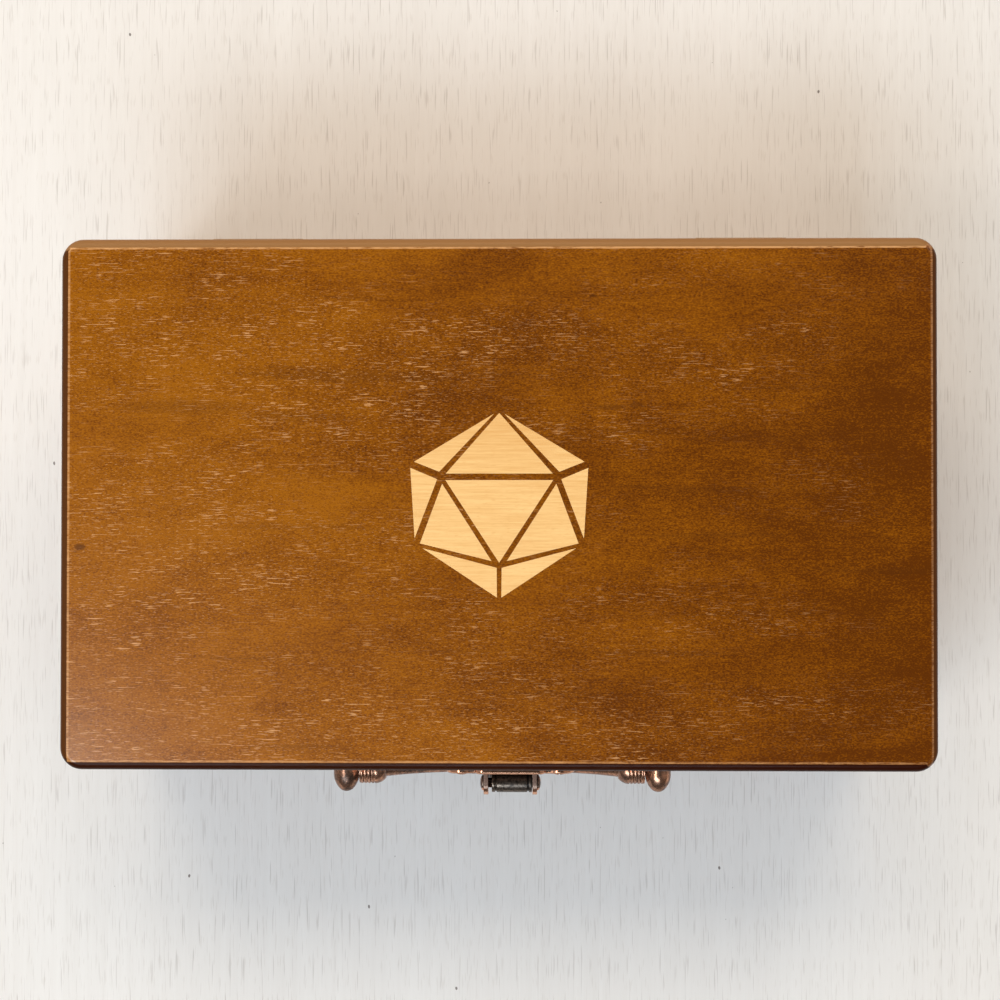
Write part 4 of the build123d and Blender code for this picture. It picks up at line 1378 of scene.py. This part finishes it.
@dataclass
class Bail:
    """The bail: spigots, ringed bulbs with rounded noses and a drooping bar that flares at its ends."""

    finishes: Finishes
    bulb_outer: float = 51.85 * MM
    bulb_length: float = 9.6 * MM
    bulb_radius: float = 5.5 * MM
    straight: float = 5.6 * MM
    nose_radius: float = 5.0 * MM
    rings: int = 4
    ring_pitch: float = 1.3 * MM
    ring_depth: float = 0.42 * MM
    spigot_radius: float = 1.8 * MM
    spigot_length: float = 4.6 * MM
    drop: float = 11.5 * MM
    bar_end_radius: float = 3.2 * MM
    bar_middle_radius: float = 2.5 * MM
    flare_power: int = 4
    rim_chamfer: float = 0.25 * MM
    nose_steps: int = 10
    ring_steps: int = 8
    ring_gap: float = 0.001 * MM
    bar_sides: int = 28
    bar_steps: int = 56
    steps: int = 44

    def end_profile(self) -> list[tuple[float, float]]:
        """Give the right end's profile, from the nose's inner end out to the spigot.

        Returns:
            (radius, distance from the chest's middle) points.
        """
        nose_outer = self.bulb_outer - self.straight
        inner = self.bulb_outer - self.bulb_length
        profile = [(0.0, inner)]
        for number in range(self.nose_steps + 1):
            across = (inner - nose_outer) * (1 - number / self.nose_steps)
            fall = self.nose_radius - math.sqrt(self.nose_radius**2 - across**2)
            profile.append((self.bulb_radius - fall, nose_outer + across))
        first = nose_outer + (self.straight - self.rings * self.ring_pitch) / 2
        for ring in range(self.rings):
            for step in range(self.ring_steps + 1):
                share = step / self.ring_steps
                hollow = self.ring_depth * (1 - math.sin(math.pi * share) ** 0.7)
                along = first + (ring + share) * self.ring_pitch + self.ring_gap * step
                profile.append((self.bulb_radius - hollow, along))
        profile += [(self.bulb_radius, self.bulb_outer - self.rim_chamfer)]
        profile += [(self.bulb_radius - self.rim_chamfer, self.bulb_outer)]
        profile += [(self.spigot_radius, self.bulb_outer)]
        spigot_end = self.bulb_outer + self.spigot_length
        return profile + [(self.spigot_radius, spigot_end), (0.0, spigot_end)]

    def bar(self, pivot: Vector) -> bmesh.types.BMesh:
        """Make the bar as a circle spun along its arc, then thickened towards its ends.

        Args:
            pivot: The middle of the bail's axis.

        Returns:
            The bmesh.
        """
        half = self.bulb_outer - self.bulb_length + (self.bulb_length - self.straight) / 2
        radius = (half**2 + self.drop**2) / (2 * self.drop)
        centre = pivot + Vector((0, 0, radius - self.drop))
        reach = math.asin(half / radius)
        mesh = bmesh.new()
        bmesh.ops.create_circle(mesh, segments=self.bar_sides, radius=self.bar_middle_radius, cap_ends=False)
        turn = Matrix.Rotation(math.radians(90), 4, "Y")
        bmesh.ops.transform(mesh, matrix=turn, verts=mesh.verts)
        bmesh.ops.translate(mesh, vec=pivot + Vector((0, 0, -self.drop)), verts=mesh.verts)
        bmesh.ops.rotate(mesh, cent=centre, matrix=Matrix.Rotation(reach, 3, "Y"), verts=mesh.verts)
        ring = mesh.verts[:] + mesh.edges[:]
        bmesh.ops.spin(
            mesh, geom=ring, cent=centre, axis=(0, -1, 0), angle=2 * reach, steps=self.bar_steps,
            use_merge=False, use_duplicate=False,
        )
        for vert in mesh.verts:
            spoke = Vector((vert.co.x - centre.x, 0, vert.co.z - centre.z)).normalized()
            core = Vector((centre.x, pivot.y, centre.z)) + spoke * radius
            share = min(1.0, abs(math.atan2(spoke.x, -spoke.z)) / reach)
            flare = self.bar_end_radius / self.bar_middle_radius - 1.0
            vert.co = core + (vert.co - core) * (1.0 + flare * share**self.flare_power)
        bmesh.ops.recalc_face_normals(mesh, faces=mesh.faces)
        return mesh

    def build(self) -> bpy.types.Object:
        """Make the bail."""
        joint = next(j for j in frame["joints"] if j["name"] == "bail_swing")
        pivot = Vector(joint["pos_m"])
        whole = bmesh.new()
        for side in (-1, 1):
            join_into(whole, turned_to(lathe(self.end_profile(), self.steps), Vector((side, 0, 0)), pivot))
        join_into(whole, self.bar(pivot))
        bail = piece_from(whole, "bail_cast")
        return settle(bail, self.finishes.copper, ["bail_handle"])


# ---------------------------------------------------------------- studio
@dataclass
class Lamp:
    """One soft area lamp that points at the chest."""

    name: str
    place: Triple
    size: tuple[float, float]
    power: float
    colour: Colour
    target: Triple = (0.0, 0.0, 0.06)

    def build(self) -> None:
        """Hang the lamp."""
        data = bpy.data.lights.new(self.name, "AREA")
        data.shape = "RECTANGLE"
        data.size, data.size_y = self.size
        data.energy = self.power
        data.color = self.colour
        lamp = bpy.data.objects.new(self.name, data)
        lamp.location = self.place
        aim = Vector(self.target) - Vector(self.place)
        lamp.rotation_euler = aim.to_track_quat("-Z", "Y").to_euler()
        bpy.context.scene.collection.objects.link(lamp)


@dataclass
class Studio:
    """The board under the chest, the lamps, the pale surroundings and the camera."""

    camera_place: Vector = Vector((0.01219, -0.00818, 0.71674))
    tilt_deg: Triple = (0.906, 1.087, 0.037)
    lens_mm: float = 67.5
    sensor_mm: float = 36.0
    clip_start: float = 0.01
    surround: Colour = (1.0, 0.9, 0.81)
    surround_strength: float = 0.64
    overhead: Colour = (0.05, 0.04, 0.02)
    overhead_heights: tuple[float, float] = (0.78, 0.93)
    front_dimming: float = 0.8
    dimming_reach: tuple[float, float] = (0.15, -0.5)
    floor_half: float = 4.0
    lamps: tuple[Lamp, ...] = (
        Lamp("window_left", (-1.5, 0.1, 1.4), (0.6, 1.3), 1.5, (0.85, 0.92, 1.0)),
        Lamp("room_back", (0.0, 1.3, 1.75), (1.9, 0.9), 24.0, (1.0, 0.85, 0.65)),
        Lamp("sky_front", (-0.4, -1.2, 1.8), (1.5, 0.7), 27.5, (0.75, 0.885, 1.0)),
        Lamp("sheen_left", (-0.71, -0.5, 1.86), (0.34, 0.34), 5.2, (1.0, 0.97, 0.94)),
    )

    def build_camera(self) -> None:
        """Set the camera over the lid, as the photograph has it."""
        data = bpy.data.cameras.new("overhead")
        data.sensor_fit = "HORIZONTAL"
        data.sensor_width = self.sensor_mm
        data.lens = self.lens_mm
        data.clip_start = self.clip_start
        camera = bpy.data.objects.new("overhead", data)
        camera.location = self.camera_place
        camera.rotation_euler = Euler([math.radians(angle) for angle in self.tilt_deg], "XYZ")
        bpy.context.scene.collection.objects.link(camera)
        bpy.context.scene.camera = camera

    def build_floor(self) -> None:
        """Lay the painted board."""
        mesh = bmesh.new()
        bmesh.ops.create_grid(mesh, x_segments=1, y_segments=1, size=self.floor_half)
        floor = piece_from(mesh, "painted_board_floor", smooth=False)
        floor.data.materials.append(PaintedBoard().build())

    def build_light(self) -> None:
        """Hang the lamps and set the surroundings."""
        for lamp in self.lamps:
            lamp.build()
        world = bpy.data.worlds.new("pale_surroundings")
        world.use_nodes = True
        background = world.node_tree.nodes["Background"]
        background.inputs["Strength"].default_value = self.surround_strength
        sky = Shader(world.node_tree)
        _, y, z = sky.split(sky.add("TexCoord", output="Generated"))
        stops = zip(self.overhead_heights, (self.surround, self.overhead))
        glow = sky.add("ValToRGB", {"stops": list(stops)}, {0: z})
        behind, ahead = self.dimming_reach
        dimming = sky.add("MapRange", None, {0: y, 1: behind, 2: ahead, 3: 1.0, 4: 1.0 - self.front_dimming})
        shaded = sky.add("VectorMath", {"operation": "SCALE"}, {0: glow, "Scale": dimming})
        world.node_tree.links.new(shaded.socket, background.inputs["Color"])
        bpy.context.scene.world = world

    def build(self) -> None:
        """Set up the studio."""
        self.build_camera()
        self.build_floor()
        self.build_light()
        bpy.context.scene.view_settings.view_transform = "Standard"


# ---------------------------------------------------------------- the chest
def report(name: str, pieces: Union[bpy.types.Object, list]) -> None:
    """Say what was made.

    Args:
        name: The sub-assembly.
        pieces: Its piece or pieces.
    """
    for piece in pieces if isinstance(pieces, list) else [pieces]:
        LOG.info("%s: %s, %d faces", name, piece.name, len(piece.data.polygons))


def main() -> None:
    """Build the studio and every part of the chest."""
    logging.basicConfig(level=logging.INFO, format="%(name)s %(message)s")
    Studio().build()
    finishes = Finishes()
    report("lid top", LidTop(finishes).build())
    report("woodwork", Woodwork(finishes).build())
    report("fittings", Fittings(finishes).build())
    for side in ("left", "right"):
        report("handle", HandlePost(f"handle_post_{side}", finishes).build())
    report("handle", Bail(finishes).build())
    for node in ("shelf_felt", "tray_felt", "drawer_felt"):
        report("linings", Lining(node, finishes).build())
    report("linings", Lining("lid_felt", finishes, shows_below=True).build())
    report("linings", Lining("base_felt", finishes, swell=0.0).build())


if __name__ == "__main__":
    main()
